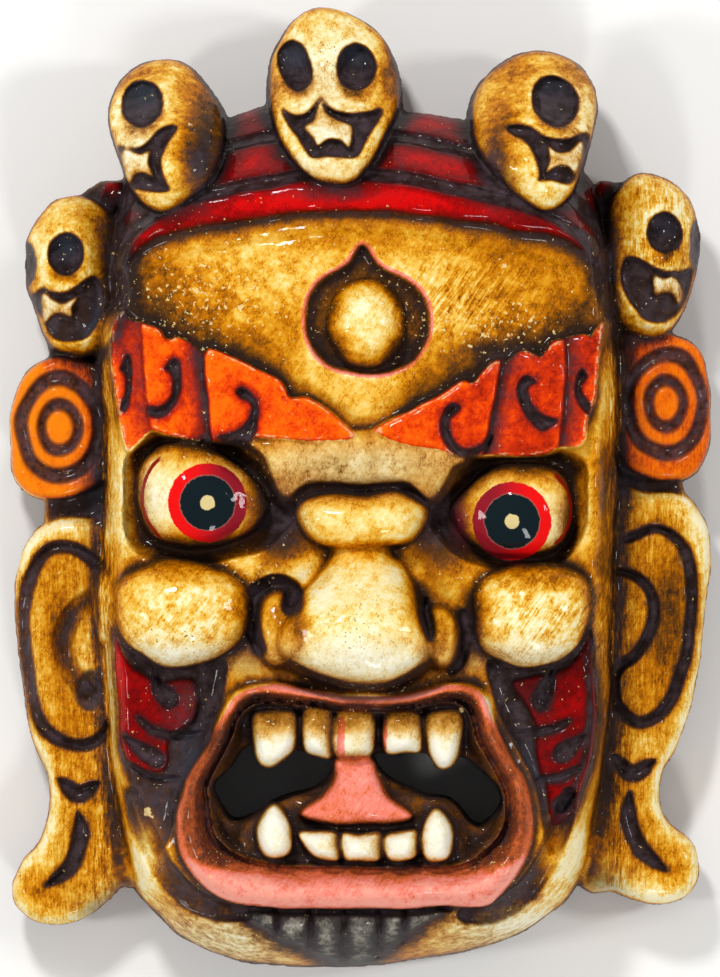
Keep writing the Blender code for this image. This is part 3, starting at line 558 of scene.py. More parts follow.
# %% Outlines of the eyes
EYE_SOCKETS = [
    [(-99, 19), (-104, 0), (-101, -25), (-80, -33), (-56, -31), (-38, -24), (-27, -10), (-36, 4),
     (-48, 18), (-72, 24)],
    [(97, 13), (99.5, -4), (96, -25), (80, -36), (58, -35), (38, -27), (28, -10), (38, 2), (50, 14),
     (75, 18)],
]
EYEBALLS = [
    [(-97, -4), (-95, 10), (-87, 19), (-74, 21), (-60, 15), (-49, 6), (-41, -3), (-42, -12),
     (-52, -20), (-64, -25), (-80, -26), (-92, -20)],
    [(92, -8), (89, 4), (80, 11), (68, 12.5), (56, 8), (45, -2), (40, -9), (43, -18), (52, -26),
     (64, -30), (78, -30), (89, -22)],
]
EYE_MIDDLES = [(-66.5, -6.2), (66.3, -14.3)]
print("eyes:", len(EYEBALLS))

# %% Carve the eyes
EYEBALL_EDGE = 86
EYEBALL_RISE = 26
EYEBALL_SHADE = (0.2, 0.66, 6.0, 0.62, 4, 0.16)

for outline in EYE_SOCKETS:
    depth = carving.cut(outline, 11, 9)
    carving.darken(0.14 * ramp(1.0, 9.0, depth), 0.54 * ramp(-3.0, 6.0, depth))
for outline in EYEBALLS:
    depth = carving.raise_form(outline, EYEBALL_EDGE, EYEBALL_RISE, 25, EYEBALL_SHADE,
                               foot=70, wall=3, ridge=7)
    print("an eyeball stands", round(carving.z[depth > 0].max(), 1), "mm high")

# %% [markdown]
# ## Nose, frown and cheeks
# The frown is a fold between the brows, with a knob under it. The nose swells to its tip and
# curls up at both wings, and the cheeks are two full balls. Where two forms meet, a soft joint
# fills the crease a little, as a gouge would leave it.

# %% Outlines of the nose and cheeks
GLABELLA = [
    (-48, 21), (-41, 13), (-37, 0), (-32, -4), (-24, 2), (-10, 2), (0, 1), (12, 2), (22, 2),
    (30, -5), (36, 0), (41, 9), (45, 14), (20, 22), (2, 27), (-20, 22),
]
NOSE_KNOB = [
    (-28, -12), (-24, -4), (-10, -2), (0, -3), (14, -1), (25, -5), (29, -12), (24, -22), (10, -26),
    (-8, -26), (-22, -22),
]
NOSE = [
    (-12, -14), (-14, -28), (-18, -38), (-24, -46), (-31, -56), (-36, -66), (-33.5, -73), (-20, -80),
    (-8, -84.5), (7.5, -85.5), (18.5, -81.5), (29.5, -75), (31.7, -69.8), (28.7, -62.5), (26.2, -53),
    (23, -43), (19, -33.6), (15, -28), (13, -14),
]
NOSTRIL_WINGS = [
    [(-31, -51), (-27, -58), (-27, -70), (-34, -77), (-41, -75), (-45.5, -64), (-45, -54),
     (-41, -47), (-35, -46)],
    [(31, -54), (31, -62), (28, -70), (33, -78), (39, -77.5), (42.5, -70), (42, -59), (38, -53),
     (34, -51.5)],
]
NOSTRIL_CURL = [(-29.8, -50.5), (-29.5, -44.5), (-33, -41.5), (-38.5, -41), (-45, -45), (-48.5, -52.5),
                (-47, -62), (-43.5, -70)]
NOSTRIL_SLIT = [(28.5, -48), (28.3, -57), (30, -66)]
BESIDE_RIGHT_WING = [(44.5, -54), (46.5, -62), (45, -74), (40, -81)]
CHEEKS = [
    [(-106, -44), (-98, -34), (-80, -31), (-62, -34), (-50, -42), (-48, -56), (-54, -69), (-68, -76),
     (-84, -78), (-98, -71), (-105, -60)],
    [(101, -44), (94, -35), (78, -32), (62, -35), (51, -42), (48, -55), (52, -69), (66, -77),
     (80, -78), (94, -71), (100, -60)],
]
print("nostril wings:", len(NOSTRIL_WINGS), "cheeks:", len(CHEEKS))

# %% Carve the nose and cheeks
NOSE_ROOT_HEIGHT = 88.0
NOSE_TIP_LIFT = 22.0
FROWN_EDGE = 98
FROWN_SHADE = (0.25, 0.46, 5, 0.74, 3.5, 0.4)
WING_SHADE = (0.36, 0.5, 3, 0.5, 4, 0.2)
CHEEK_EDGE = 88
CHEEK_RISE = 26

carving.raise_form(GLABELLA, FROWN_EDGE, 5, 8, FROWN_SHADE, foot=84, wall=4, soft=4)
for x in (-35, 35):
    carving.darken(0.62 * carving.mound(x, -14, 10, 13), 0.86 * carving.mound(x, -20, 17, 22))
over_knob = ramp(-16, -4, carving.y)
knob_shade = (0.06, 0.6, 3.5, 0.56 + 0.25 * over_knob, 4, 0.05 + 0.5 * over_knob)
carving.raise_form(NOSE_KNOB, FROWN_EDGE, 18, 13, knob_shade, foot=80, wall=3, soft=3)
nose_edge = NOSE_ROOT_HEIGHT + NOSE_TIP_LIFT * ramp(-22, -62, carving.y)
knob_stain = carving.stain
knob_smoke = carving.smoke
# Round the lower end of the nose its foot and crease are darker: painted shadow under the nose.
low_nose = ramp(-60, -76, carving.y)
nose_shade = (0.07, 0.45 - 0.25 * low_nose, 4, 0.5 + 0.3 * low_nose, 5, 0.04 + 0.5 * low_nose)
carving.raise_form(NOSE, nose_edge, 20, 20, nose_shade, foot=nose_edge - 16, wall=4, soft=5, ridge=7)
# The nose's shade must not darken the knob above it.
on_knob = ramp(-28, -22, carving.y)
carving.stain = carving.stain * (1 - on_knob) + knob_stain * on_knob
carving.smoke = carving.smoke * (1 - on_knob) + knob_smoke * on_knob
for outline in NOSTRIL_WINGS:
    carving.raise_form(outline, FROWN_EDGE, 15, 10, WING_SHADE, foot=84, wall=3, soft=7)
carving.gouge(NOSTRIL_CURL, 7, 7, taper=0.2, blob=5.3)
carving.gouge(NOSTRIL_SLIT, 4.6, 8, taper=0.5, dark=0.75)
carving.gouge(BESIDE_RIGHT_WING, 5, 3, taper=0.4, dark=0.85)
under = ramp(-52, -68, carving.y)
cheek_shade = (0.1, 0.5 - 0.22 * under, 4.5, 0.55 + 0.25 * under, 4, 0.03 + 0.55 * under)
for outline in CHEEKS:
    depth = carving.raise_form(outline, CHEEK_EDGE, CHEEK_RISE, 24, cheek_shade,
                               foot=76, wall=3, soft=3, ridge=7)
    carving.unmark("red", depth + 0.5)
print("the nose stands", round(carving.z.max(), 1), "mm high")

# %% [markdown]
# ## Flaming brows
# Each brow is a row of flames that overlap like shingles: each one starts low behind the edge of
# the last and rises to its own edge. A comma-shaped curl is cut into each flame, and dark paint was
# brushed into the low side of every fold so that the flame before it stands out.

# %% Outlines of the brows
BROWS = [
    [(-104.5, 78), (-101, 73.5), (-95, 72.5), (-88, 70), (-85, 65), (-80.5, 65.7), (-75, 63.5),
     (-69, 59), (-66.5, 61.5), (-63.6, 61), (-55.7, 58), (-44.4, 52.2), (-35, 47.3), (-32, 43.7),
     (-29.5, 39.5), (-22, 39.4), (-14, 34.1), (-6, 28), (-2.5, 24), (-8, 21), (-22, 20.5),
     (-38, 21.5), (-55, 21), (-72, 20.5), (-85, 23), (-92, 25), (-98, 20), (-102, 17), (-106, 32),
     (-108.6, 50), (-109, 68)],
    [(5, 26.3), (11.5, 29.2), (22.5, 34.2), (37.2, 43.2), (44.5, 47.3), (49, 46.4), (51.5, 48.5),
     (56, 54), (60.5, 56.5), (64, 54.8), (69, 59), (73.2, 60), (78, 57.4), (81, 60), (84, 64),
     (88.5, 65), (94.6, 67), (99, 67.6), (101.5, 66.5), (103, 69.5), (106.5, 72), (104.7, 58),
     (102, 39), (99.7, 30), (99, 22), (95.7, 17.8), (87.3, 17.6), (81, 14.6), (67.6, 14), (52, 14.5),
     (39.4, 14.4), (33.8, 16), (18, 18.9), (8.4, 23.4)],
]
# Where a flame of a brow overlaps the next one out: its edge from top to bottom, and how dark it is.
BROW_FOLDS = [
    [([(-68.5, 60), (-68, 50), (-66.5, 38), (-64.5, 20)], 0.95),
     ([(-96.5, 73), (-95, 55), (-93.5, 40), (-91.5, 20)], 0.4)],
    [([(62, 57), (60.2, 45), (58, 35), (56, 24), (53, 14)], 0.9),
     ([(89.7, 65), (89.5, 48), (88.4, 31), (87, 16)], 0.7)],
]
BROW_CURLS = [
    [(-54, 42.8), (-51.5, 44.3), (-49, 43.2), (-46.6, 40), (-44.4, 35), (-44, 29), (-45.2, 24),
     (-48.5, 20.3), (-55, 19.8), (-62.5, 22.8), (-56, 24.2), (-51.2, 26.2), (-47.9, 30), (-46.9, 35),
     (-48.6, 38.3), (-51, 39.2), (-53, 40.6)],
    [(-85.4, 52), (-83.5, 55), (-81.5, 56.2), (-79.2, 54.6), (-78.2, 50), (-78.4, 44), (-80, 39),
     (-83, 34.4), (-87.5, 31), (-92.2, 31.6), (-92.4, 35.6), (-88, 35.6), (-84, 38.6), (-81.8, 43),
     (-81.7, 47.5), (-83, 50)],
    [(-105.4, 52), (-103.6, 55.5), (-102, 59), (-100.4, 56.5), (-100, 50), (-100.6, 43),
     (-101.4, 37), (-103, 33.2), (-105.2, 33.6), (-104.8, 37), (-103.2, 41.5), (-102.8, 47),
     (-103.6, 50)],
    [(43.8, 35.2), (42, 36.8), (39.6, 37), (36.8, 35), (35.4, 29), (35.8, 22), (38.4, 16.8),
     (43, 14.2), (50, 14.4), (56, 18.5), (58, 24), (55, 21.5), (51.5, 18.4), (45, 17.6), (41.2, 20),
     (39.4, 25), (39.4, 30), (41.5, 32.4)],
    [(77.2, 45.4), (74.5, 47.5), (71.8, 48.6), (69.4, 46), (68.5, 41), (70, 35), (74, 29.2),
     (79.5, 24.4), (83.5, 26.6), (86.4, 29.4), (81.3, 30.8), (76.8, 33.6), (73.8, 37.5), (72.8, 42),
     (74.2, 44.3)],
    [(98.4, 49.5), (96.4, 52.8), (94, 49.5), (93.4, 43.5), (95.4, 37), (99.4, 31.8), (100.3, 36),
     (97.2, 40.5), (95.8, 45), (97.6, 47.8)],
]
print("brow flames:", sum(len(folds) + 1 for folds in BROW_FOLDS), "curls:", len(BROW_CURLS))

# %% Carve the brows
BROW_LIFT = 8.5
FOLD_DROP = 6.5
FOLD_WIDTH = 22

over_brow = ramp(22, 32, carving.y)
brow_stain = 0.08 + 0.3 * ramp(12, 56, carving.x)
brow_shade = (brow_stain, 0.26, 1.5, 0.2 + 0.4 * over_brow, 2.5, 0.04 + 0.12 * over_brow)
for outline, folds, side in zip(BROWS, BROW_FOLDS, (-1, 1)):
    depth = carving.raise_form(outline, carving.face + BROW_LIFT, 3, 4, brow_shade,
                               foot=carving.face - 4, wall=1.6)
    carving.mark("vermilion", depth - 0.3)
    for edge_line, dark in folds:
        edge_x, edge_y = zip(*reversed(edge_line))
        outward = side * (carving.x - np.interp(carving.y, edge_y, edge_x))
        low_side = ramp(-0.5, 0.5, outward) * (depth > 0)
        carving.z = carving.z - FOLD_DROP * low_side * np.clip(1 - outward / FOLD_WIDTH, 0, 1)
        carving.darken(0.9 * dark * low_side * np.exp(-((outward / 5.6) ** 2)),
                       0.9 * dark * low_side * np.exp(-np.maximum(outward, 0) / 8.0))
for outline in BROW_CURLS:
    carving.cut(outline, 4.5, 1.8, dark=0.97)
print("the brows stand", round(carving.z[carving.marks["vermilion"] > 0].max(), 1), "mm high")

# %% [markdown]
# ## Mouth
# The lips are one thick roll round an open mouth. Inside it the block is cut back to a floor, and
# gums, teeth and tongue stand on that floor. Two gaps go right through for the wearer to see and
# breathe: there the height is pulled far below the block.

# %% Outlines of the lips, gums, teeth and tongue
LIPS = [
    (-48, -85), (-57, -91), (-62.5, -102), (-67, -113), (-75, -126), (-80, -140), (-80, -156),
    (-74, -168.5), (-65, -177), (-54, -182), (-39, -183.5), (-4, -184), (48.5, -183), (60, -179.5),
    (69, -169), (75, -157), (76, -143), (73, -130), (67, -119), (61, -105), (57, -92), (50, -85.5),
    (38, -85), (20, -89), (0, -91), (-20, -89), (-36, -85),
]
MOUTH = [
    (-42, -93), (-53, -99), (-57, -110), (-63, -122), (-67, -133), (-66, -146), (-58, -158),
    (-44, -164), (-20, -166), (20, -166), (44, -164), (56, -157), (63, -146), (63, -133),
    (58, -123), (52, -111), (47, -97), (36, -93), (20, -96), (0, -98), (-20, -96),
]
GUMS = [
    [(-48, -97), (-20, -98), (0, -99), (28, -97), (46, -97), (46, -108), (20, -112), (-20, -112),
     (-50, -108)],
    [(-50, -162), (-46, -140), (-34, -137), (-24, -134), (0, -134), (24, -134), (38, -138),
     (44, -150), (42, -164), (0, -166)],
]
UPPER_TEETH = [
    [(-46.5, -98), (-29, -98), (-29, -113), (-34, -120), (-39, -123), (-44, -120), (-46, -112)],
    [(-25.5, -98), (-11.8, -98), (-11.5, -116.5), (-18, -117.5), (-24.5, -114)],
    [(-10, -98), (5.6, -98), (5.6, -116.5), (-9.5, -117)],
    [(10.6, -98), (26, -98), (26.5, -114), (20, -116), (11.4, -115.5)],
    [(28.8, -98), (44.4, -98), (44, -114), (41, -121), (36, -123), (32, -120), (29, -112)],
]
LOWER_TEETH = [
    [(-45, -155), (-44, -146), (-37, -139), (-30, -147), (-30, -158), (-36, -162), (-42, -161)],
    [(-27, -150.5), (-20, -149.5), (-9.4, -151), (-9, -162), (-16, -163), (-22, -160)],
    [(-8, -151), (0, -152), (9, -151), (8.6, -162), (0, -163), (-7, -162)],
    [(10, -152), (18, -150), (25.5, -150), (25.5, -160), (18, -163), (11, -161)],
    [(27.5, -148), (33, -140), (40.4, -147), (40.5, -158), (36, -162.5), (28.4, -162)],
]
TONGUE = [
    (-10, -118), (5, -118), (8, -126), (13, -135), (22, -142), (19, -146), (0, -148.5), (-19, -146),
    (-26, -142), (-16, -133), (-11, -126),
]
MOUTH_HOLES = [
    [(-48, -112), (-58, -122), (-65, -130), (-63, -140), (-54, -147), (-43, -143), (-30, -136),
     (-16, -129), (-10, -118), (-25, -115)],
    [(6, -116.5), (27, -115.5), (42, -116), (52, -123), (62, -132), (62, -141), (52, -149),
     (40, -138), (24, -133.5), (9, -125)],
]
LIP_RISE = 15
# How far across from its outer edge the lip is highest.
LIP_CREST = 0.45
MOUTH_FLOOR = 74.0
GUM_HEIGHT = 81.0
TOOTH_HEIGHT = 91.0
TONGUE_HEIGHT = 88.0
# Where pink ran down between two upper teeth: X of each strip.
PINK_RUNS = (-7.8, 10.2)
print("teeth:", len(UPPER_TEETH + LOWER_TEETH), "and gaps through the mouth:", len(MOUTH_HOLES))

# %% Carve the lips
lips_depth = carving.inside(LIPS, margin=30, ridge=0)
mouth_depth = carving.inside(MOUTH, margin=30, ridge=0)
across_lip = np.clip(lips_depth / (np.abs(lips_depth) + np.abs(mouth_depth) + 1e-6), 0, 1)
lip_fall = LIP_RISE - 20 * ramp(LIP_CREST, 1.15, across_lip)
lip_roll = np.where(across_lip < LIP_CREST, LIP_RISE * dome(across_lip / LIP_CREST), lip_fall)
lip_height = carving.face - 2 + lip_roll + 4 * ramp(-150, -175, carving.y)
on_lip = (lips_depth > 0) & (mouth_depth < 0)
carving.z = np.where(on_lip, lip_height, carving.z)
mouth_wall = carving.face + 8 - 4 * mouth_depth
carving.z = np.where(mouth_depth >= 0, np.maximum(MOUTH_FLOOR, mouth_wall), carving.z)
carving.unmark("red", lips_depth)
print("the lips stand", round(carving.z[on_lip].max(), 1), "mm high")

# %% Paint the lips
# The paint is clean on the outer side of the roll and ends in stain and dark paint at the mouth. It
# runs further in on the lower lip and at the middle of the upper lip.
low_lip = ramp(-160, -172, carving.y)
high_lip = ramp(-108, -96, carving.y)
pink_ends = -0.02 + 0.42 * low_lip + 0.3 * high_lip
pink_fades = pink_ends + 0.3 + 0.3 * low_lip
lip_stain = 0.14 + (0.56 - 0.38 * low_lip) * ramp(pink_ends, pink_fades, across_lip)
lip_stain = lip_stain - 0.08 * low_lip * ramp(0.5, 0.3, across_lip)
lip_smoke = (0.46 - 0.26 * low_lip - 0.3 * high_lip) * ramp(0.2 + 0.7 * low_lip, 1.05, across_lip)
carving.shade(lips_depth, 0.0, 0.0, 1.0, 0.8 - 0.35 * high_lip, 4.0, 0.7 - 0.6 * high_lip)
in_lips = ramp(-0.7, 0.9, lips_depth)
carving.stain = carving.stain + in_lips * np.where(mouth_depth < 0, lip_stain, 0.72)
carving.smoke = carving.smoke + in_lips * np.where(mouth_depth < 0, lip_smoke, 0.4)
bare_rim = high_lip * (0.3 + 1.7 * ramp(30, 50, np.abs(carving.x)))
carving.mark("pink", np.minimum(lips_depth - bare_rim, 0.6 - mouth_depth))
carving.stain = np.maximum(carving.stain, 0.34 * high_lip * ramp(2.5, 0, lips_depth) * in_lips)
print("pink runs over", round(float((carving.marks["pink"] > 0).mean()), 3), "of the drawing")

# %% Carve the gums, teeth and tongue
GUM_SHADE = (0.7, 0.8, 3, 0.5, 3, 0.3)
TOOTH_SHADE = (0.03, 0.4, 1.2, 0.9, 3, 0.6)
TONGUE_SHADE = (0.16, 0.6, 2.0, 0.5, 2.5, 0.3)

for outline in GUMS:
    carving.raise_form(outline, GUM_HEIGHT, 4, 5, GUM_SHADE, foot=MOUTH_FLOOR, wall=4)
    carving.smoke = np.maximum(carving.smoke, 0.36 * ramp(0, 2, mouth_depth))
for outline in UPPER_TEETH + LOWER_TEETH:
    depth = carving.raise_form(outline, TOOTH_HEIGHT, 12, 6, TOOTH_SHADE, foot=70, wall=3, ridge=2)
    carving.mark("teeth", depth + 0.4)
under_gum = 0.68 * ramp(-114.0, -100.0, carving.y) * ramp(-130, -125, carving.y)
under_gum = np.maximum(under_gum, 0.5 * ramp(-158.5, -163.5, carving.y))
carving.stain = np.maximum(carving.stain, under_gum * ramp(-0.5, 0.5, carving.marks["teeth"]))
depth = carving.raise_form(TONGUE, TONGUE_HEIGHT, 9, 8, TONGUE_SHADE, foot=70, wall=4)
carving.mark("pink", depth + 0.6)
for x in PINK_RUNS:
    carving.mark("pink", np.minimum(1.7 - np.abs(carving.x - x), 8.6 - np.abs(carving.y + 109)))
for outline in MOUTH_HOLES:
    depth = carving.inside(outline, ridge=0)
    pierced = GUM_HEIGHT + 6 - 30 * depth
    low_enough = (depth > 0) & (carving.z < GUM_HEIGHT + 6)
    carving.z = np.where(low_enough, np.minimum(carving.z, pierced), carving.z)
print("the teeth stand", round(carving.z[carving.marks["teeth"] > 0].max(), 1), "mm high")

# %% [markdown]
# ## The crown of five skulls
# Each skull is a rounded head with bowl-shaped eye sockets. Below the cheekbones its face falls
# back, and the nose bone and upper teeth stand in that hollow as one small piece. The upper
# three lean out over the band at their chins; the outer two turn away from the face.

# %% Outlines of the skulls
# Each skull: outline, sockets as ovals (X, Y, half width, half height, lean), the fallen face, and
# the nose and teeth that stand in it.
CROWN_SKULL = (
    [(-18, 212), (-31, 204), (-37, 193), (-40, 180), (-39, 168), (-36.5, 157), (-32, 147),
     (-26, 139.5), (-18, 134), (-9, 132.5), (-2, 135), (4, 142), (8, 150), (12, 158), (17, 168),
     (17, 179), (14.5, 190), (9, 200), (-3, 208)],
    [(-28.9, 185.5, 7.3, 11.6, -0.15), (-1.9, 184.7, 8.8, 10.6, 0.05)],
    [(-34, 166), (-30.5, 164.3), (-25.5, 163.5), (-21.5, 165), (-19, 168.4), (-17, 170.5), (-15, 168),
     (-11, 165.5), (-4.3, 164.4), (2.3, 165), (9.6, 166.3), (8, 161.8), (4.7, 157), (1.4, 150.4),
     (-1, 145.5), (-6, 144.5), (-14, 144.5), (-19, 143.8), (-22.3, 144.7), (-25.5, 149.6), (-28, 154.5),
     (-33, 162.6)],
    [(-17, 169), (-14.5, 164.3), (-9.2, 161), (-4, 157.7), (-4.7, 149.2), (-8.4, 151.8), (-13.3, 151.8),
     (-18.6, 148.8), (-20.5, 152), (-24, 157.7), (-19.8, 160.5), (-18.5, 164.3)],
)
UPPER_SKULLS = [
    ([(-87, 189), (-98, 186), (-107, 178), (-110.5, 168), (-109, 156), (-106, 145), (-102, 135),
      (-96, 125), (-88, 121), (-78, 124), (-66, 134), (-60, 150), (-61, 165), (-67, 176), (-76, 186)],
     [(-95.8, 168.6, 9.3, 10.6, -0.05)],
     [(-108, 149), (-101.7, 148), (-96.6, 148.6), (-93.5, 151.2), (-89.3, 155.2), (-85, 157.2),
      (-79.5, 157), (-82.8, 152), (-85.7, 147), (-86.8, 142.4), (-86, 136.6), (-83.5, 130), (-89.3, 129.5),
      (-96, 130.5), (-100.3, 132), (-104, 138)],
     [(-104.5, 147), (-104.5, 138.5), (-101, 133.5), (-99, 137), (-95, 138), (-90.5, 136.5), (-93, 142),
      (-92.5, 147), (-97, 145.5)]),
    ([(79, 193), (92, 190), (100, 183), (103.5, 172), (101.5, 158), (98, 143), (93, 130),
      (84, 121.5), (74, 124), (62, 134), (52, 148), (49, 162), (50, 172), (56, 182), (67, 190)],
     [(85.8, 170, 10, 11.5, -0.05)],
     [(64, 158.2), (68.2, 159.6), (73.6, 158.8), (77, 156.3), (80, 154.3), (85.2, 153.2), (91.4, 153.2),
      (98.4, 155.5), (100.5, 152), (99.2, 145.8), (95.7, 137.5), (92.5, 133.5), (88.3, 133), (83.7, 134.8),
      (78, 134), (78.7, 136.5), (77.5, 140.4), (74.8, 146.6), (71.3, 152), (67.4, 154.5)],
     [(82, 149.5), (86, 147), (91.4, 147.6), (96.4, 151.6), (97.2, 144.3), (94.5, 137.6), (91.4, 140.4),
      (88.3, 141.2), (83.7, 140), (81.2, 138.2), (82.5, 144.3)]),
]
LOWER_SKULLS = [
    ([(-122, 129), (-134, 127), (-143, 119), (-148, 108), (-148, 92), (-144, 80), (-140, 68),
      (-134, 60), (-120, 58), (-108, 66), (-104, 90), (-106, 112), (-112, 124)],
     [(-129.8, 103, 8, 9.4, 0.0), (-147.5, 98.8, 4.2, 10, 0.0)],
     [(-148, 84), (-144, 86), (-140.4, 88.4), (-136.6, 86.5), (-130.4, 86), (-125, 88.6), (-121, 91.7),
      (-116.6, 93), (-113, 86), (-114, 76), (-119, 67), (-127, 64), (-136, 66), (-142, 76)],
     [(-140.4, 86), (-140.6, 79), (-139.7, 72.6), (-136.6, 75.5), (-132.8, 76.9), (-127.6, 75.3),
      (-127.4, 79.4), (-124.3, 84), (-131, 81), (-136, 83)]),
    ([(122, 138.5), (134, 137), (144, 130), (149, 118), (150, 106), (147, 91), (141, 76), (134, 68),
      (118, 68), (108, 80), (106, 104), (110, 126)],
     [(133.9, 112.2, 7.6, 8.8, 0.0), (149, 108, 4.2, 10.5, 0.0)],
     [(116.6, 101), (123, 100.6), (128.5, 97.2), (133.9, 95.6), (140.8, 95.9), (147, 98), (146, 90),
      (142, 80), (136, 74), (126, 74), (119, 82), (115, 92)],
     [(129.6, 93), (134, 92), (138.5, 93), (142.4, 87.8), (140.6, 82), (137.7, 85.5), (133.9, 86.2),
      (129.6, 85.5)]),
]
print("skulls:", 1 + len(UPPER_SKULLS) + len(LOWER_SKULLS))

# %% Carve the skulls
SOCKET_DEPTH = 11
FACE_DROP = 6.0
SKULL_SHADE = (0.13, 0.36, 3.4, 0.85, 6, 0.5)


def carve_skull(shape, edge, rise):
    """One skull: its sockets and the fallen face are dark, its nose and teeth are bone."""
    outline, sockets, fallen, teeth = shape
    depth = carving.raise_form(outline, edge, rise, 24, SKULL_SHADE)
    for paint in ("red", "orange"):
        carving.unmark(paint, depth)
    carving.mark("skull", depth)
    for x, y, half_width, half_height, lean in sockets:
        bowl = carving.oval(x, y, half_width, half_height, lean)
        carving.z = carving.z - SOCKET_DEPTH * bowl**0.8
        round_it = carving.oval(x, y - 1.5, half_width + 3, half_height + 3.5, lean)
        under = ramp(2, -half_height, carving.y - y)
        in_bowl = ramp(0.02, 0.2, bowl)
        shadow = (0.14 + 0.4 * under) * ramp(0.0, 0.7, round_it)
        carving.darken(0.97 * in_bowl, np.maximum(shadow, in_bowl))
    fallen_depth = carving.inside(fallen, ridge=0)
    standing = carving.inside(teeth, ridge=0)
    sunk = dome(fallen_depth / 3) * (1 - ramp(-1.2, 0.6, standing))
    carving.z = carving.z - np.where(depth > 0, FACE_DROP * sunk, 0)
    dark_face = np.minimum(np.minimum(fallen_depth, -standing), depth)
    in_dark = ramp(-0.5, 0.6, dark_face)
    round_dark = 0.5 * np.exp(np.minimum(dark_face, 0) / 1.1)
    carving.darken(0.93 * in_dark, np.maximum(round_dark, 0.95 * in_dark))
    on_bone = ramp(-0.6, 0.6, standing)
    below_nose = carving.y - max(y for x, y in teeth)
    bone_stain = 0.04 + 0.36 * np.exp(-(((below_nose + 8) / 4) ** 2))
    bone_stain = bone_stain + 0.4 * np.exp(-np.maximum(standing, 0) / 1.1)
    carving.stain = carving.stain * (1 - on_bone) + bone_stain * on_bone
    carving.smoke = carving.smoke * (1 - on_bone)
    carving.mark("teeth", standing)


# The upper skulls lean back at the top, so their chins stand highest.
chin = ramp(190, 135, carving.y)
carve_skull(CROWN_SKULL, 60 + 40 * chin, 22 - 8 * chin)
for shape in UPPER_SKULLS:
    carve_skull(shape, 46 + 46 * chin, 24 - 8 * chin)
for shape in LOWER_SKULLS:
    carve_skull(shape, 34, 30)
print("the skulls stand", round(carving.z[carving.marks["skull"] > 0].max(), 1), "mm high")

# %% [markdown]
# ## From heights to a solid block
# The back is not flat everywhere: outside the rim that the mask lies on it slopes up, so that ears
# and crown stay off the ground, and its edges are rounded with a rasp. That underside is a second
# field of heights. A grid pushed up to the front and a copy of it pushed up to the back close the
# block, and a remesh turns the long wall faces into even ones that the rasp marks can live on.

# %% The underside as a second field of heights
BACK_HALF = (113.0, 191.0)
BACK_MIDDLE = -21.0
BACK_SQUARENESS = 4.0
BACK_SLOPE_REACH = 1.7
BACK_SLOPE_RISE = 24.0
BACK_CROWN_RISE = 70.0
BACK_EDGE_ROUND = 7.0
KNIFE_MARKS = 0.12


def underside(x, y, edge_depth):
    """Height of the back: flat under the head, sloping up outside it, most at the crown."""
    across = np.abs(x / BACK_HALF[0]) ** BACK_SQUARENESS
    along = np.abs((y - BACK_MIDDLE) / BACK_HALF[1]) ** BACK_SQUARENESS
    reach = (across + along) ** (1 / BACK_SQUARENESS)
    up = ramp(0.2, 1.0, (y - BACK_MIDDLE) / (BACK_HALF[1] * np.maximum(reach, 1)))
    slope = np.maximum(reach - 1, 0) / (BACK_SLOPE_REACH - 1) * (BACK_SLOPE_RISE + BACK_CROWN_RISE * up)
    outside = ramp(0.97, 1.05, reach)
    return slope + outside * BACK_EDGE_ROUND * (1 - dome(edge_depth / BACK_EDGE_ROUND))


back = underside(grid_x, grid_y, carving.edge_depth)
front = carving.z + KNIFE_MARKS * random_field(3, grid_x.shape, cells(3))
solid = front > back
front = np.maximum(front, back)
print("the back slopes up to", round(back[solid].max(), 1), "mm")

# %% Make the block
shape = bmesh.new()
bmesh.ops.create_grid(shape, x_segments=columns - 1, y_segments=rows - 1, size=1)
# create_grid lays its points out row by row, from the lowest X and Y.
for vert, place in zip(shape.verts, np.dstack([grid_x, grid_y, front]).reshape(-1, 3) * MM):
    vert.co = place
shape.verts.index_update()
in_block = solid.ravel()
empty_faces = [face for face in shape.faces if not any(in_block[v.index] for v in face.verts)]
bmesh.ops.delete(shape, geom=empty_faces, context="FACES")
back_height = {(round(x, 5), round(y, 5)): z for x, y, z in
               np.dstack([grid_x * MM, grid_y * MM, back * MM]).reshape(-1, 3)}
made = bmesh.ops.extrude_face_region(shape, geom=shape.faces[:], use_keep_orig=True)
for item in made["geom"]:
    if isinstance(item, bmesh.types.BMVert):
        item.co.z = back_height[(round(item.co.x, 5), round(item.co.y, 5))]
bmesh.ops.recalc_face_normals(shape, faces=shape.faces)
block_mesh = bpy.data.meshes.new("carved_mask")
shape.to_mesh(block_mesh)
shape.free()
mask = bpy.data.objects.new("carved_mask", block_mesh)
scene.collection.objects.link(mask)
print("block faces:", len(block_mesh.polygons))

# %% [markdown]
# ## Even out, rasp and thin the mesh
# A voxel remesh gives square faces of one size all over, also on the walls. Two displacements from
# cloud textures add what a carver's knife and rasp leave: slow waves of a few tenths of a
# millimetre. Decimate then takes triangles away where the wood is flat and keeps them where it is
# carved. A copy of the dense mesh is kept for a while, to take the shading of its surface from.

# %% Finish the front of the block
EVEN_STEP = 0.8
FRONT_TRIANGLES = 168000

remesh = mask.modifiers.new("even faces", "REMESH")
remesh.mode = "VOXEL"
remesh.voxel_size = EVEN_STEP * MM
smooth = mask.modifiers.new("soften the steps", "SMOOTH")
smooth.iterations = 3
smooth.factor = 0.5
# Each set of marks: its name, how wide one mark is and how high the set stands.
for name, size, depth in (("knife waves", 14.0, 0.9), ("rasp marks", 5.0, 0.35)):
    clouds = bpy.data.textures.new(name, "CLOUDS")
    clouds.noise_scale = size * MM
    clouds.noise_depth = 1
    waves = mask.modifiers.new(name, "DISPLACE")
    waves.texture = clouds
    waves.texture_coords = "LOCAL"
    waves.strength = depth * MM
    waves.mid_level = 0.5


def finished_mesh(item):
    """A new mesh of the object as its modifiers leave it."""
    seen = item.evaluated_get(bpy.context.evaluated_depsgraph_get())
    return bpy.data.meshes.new_from_object(seen)


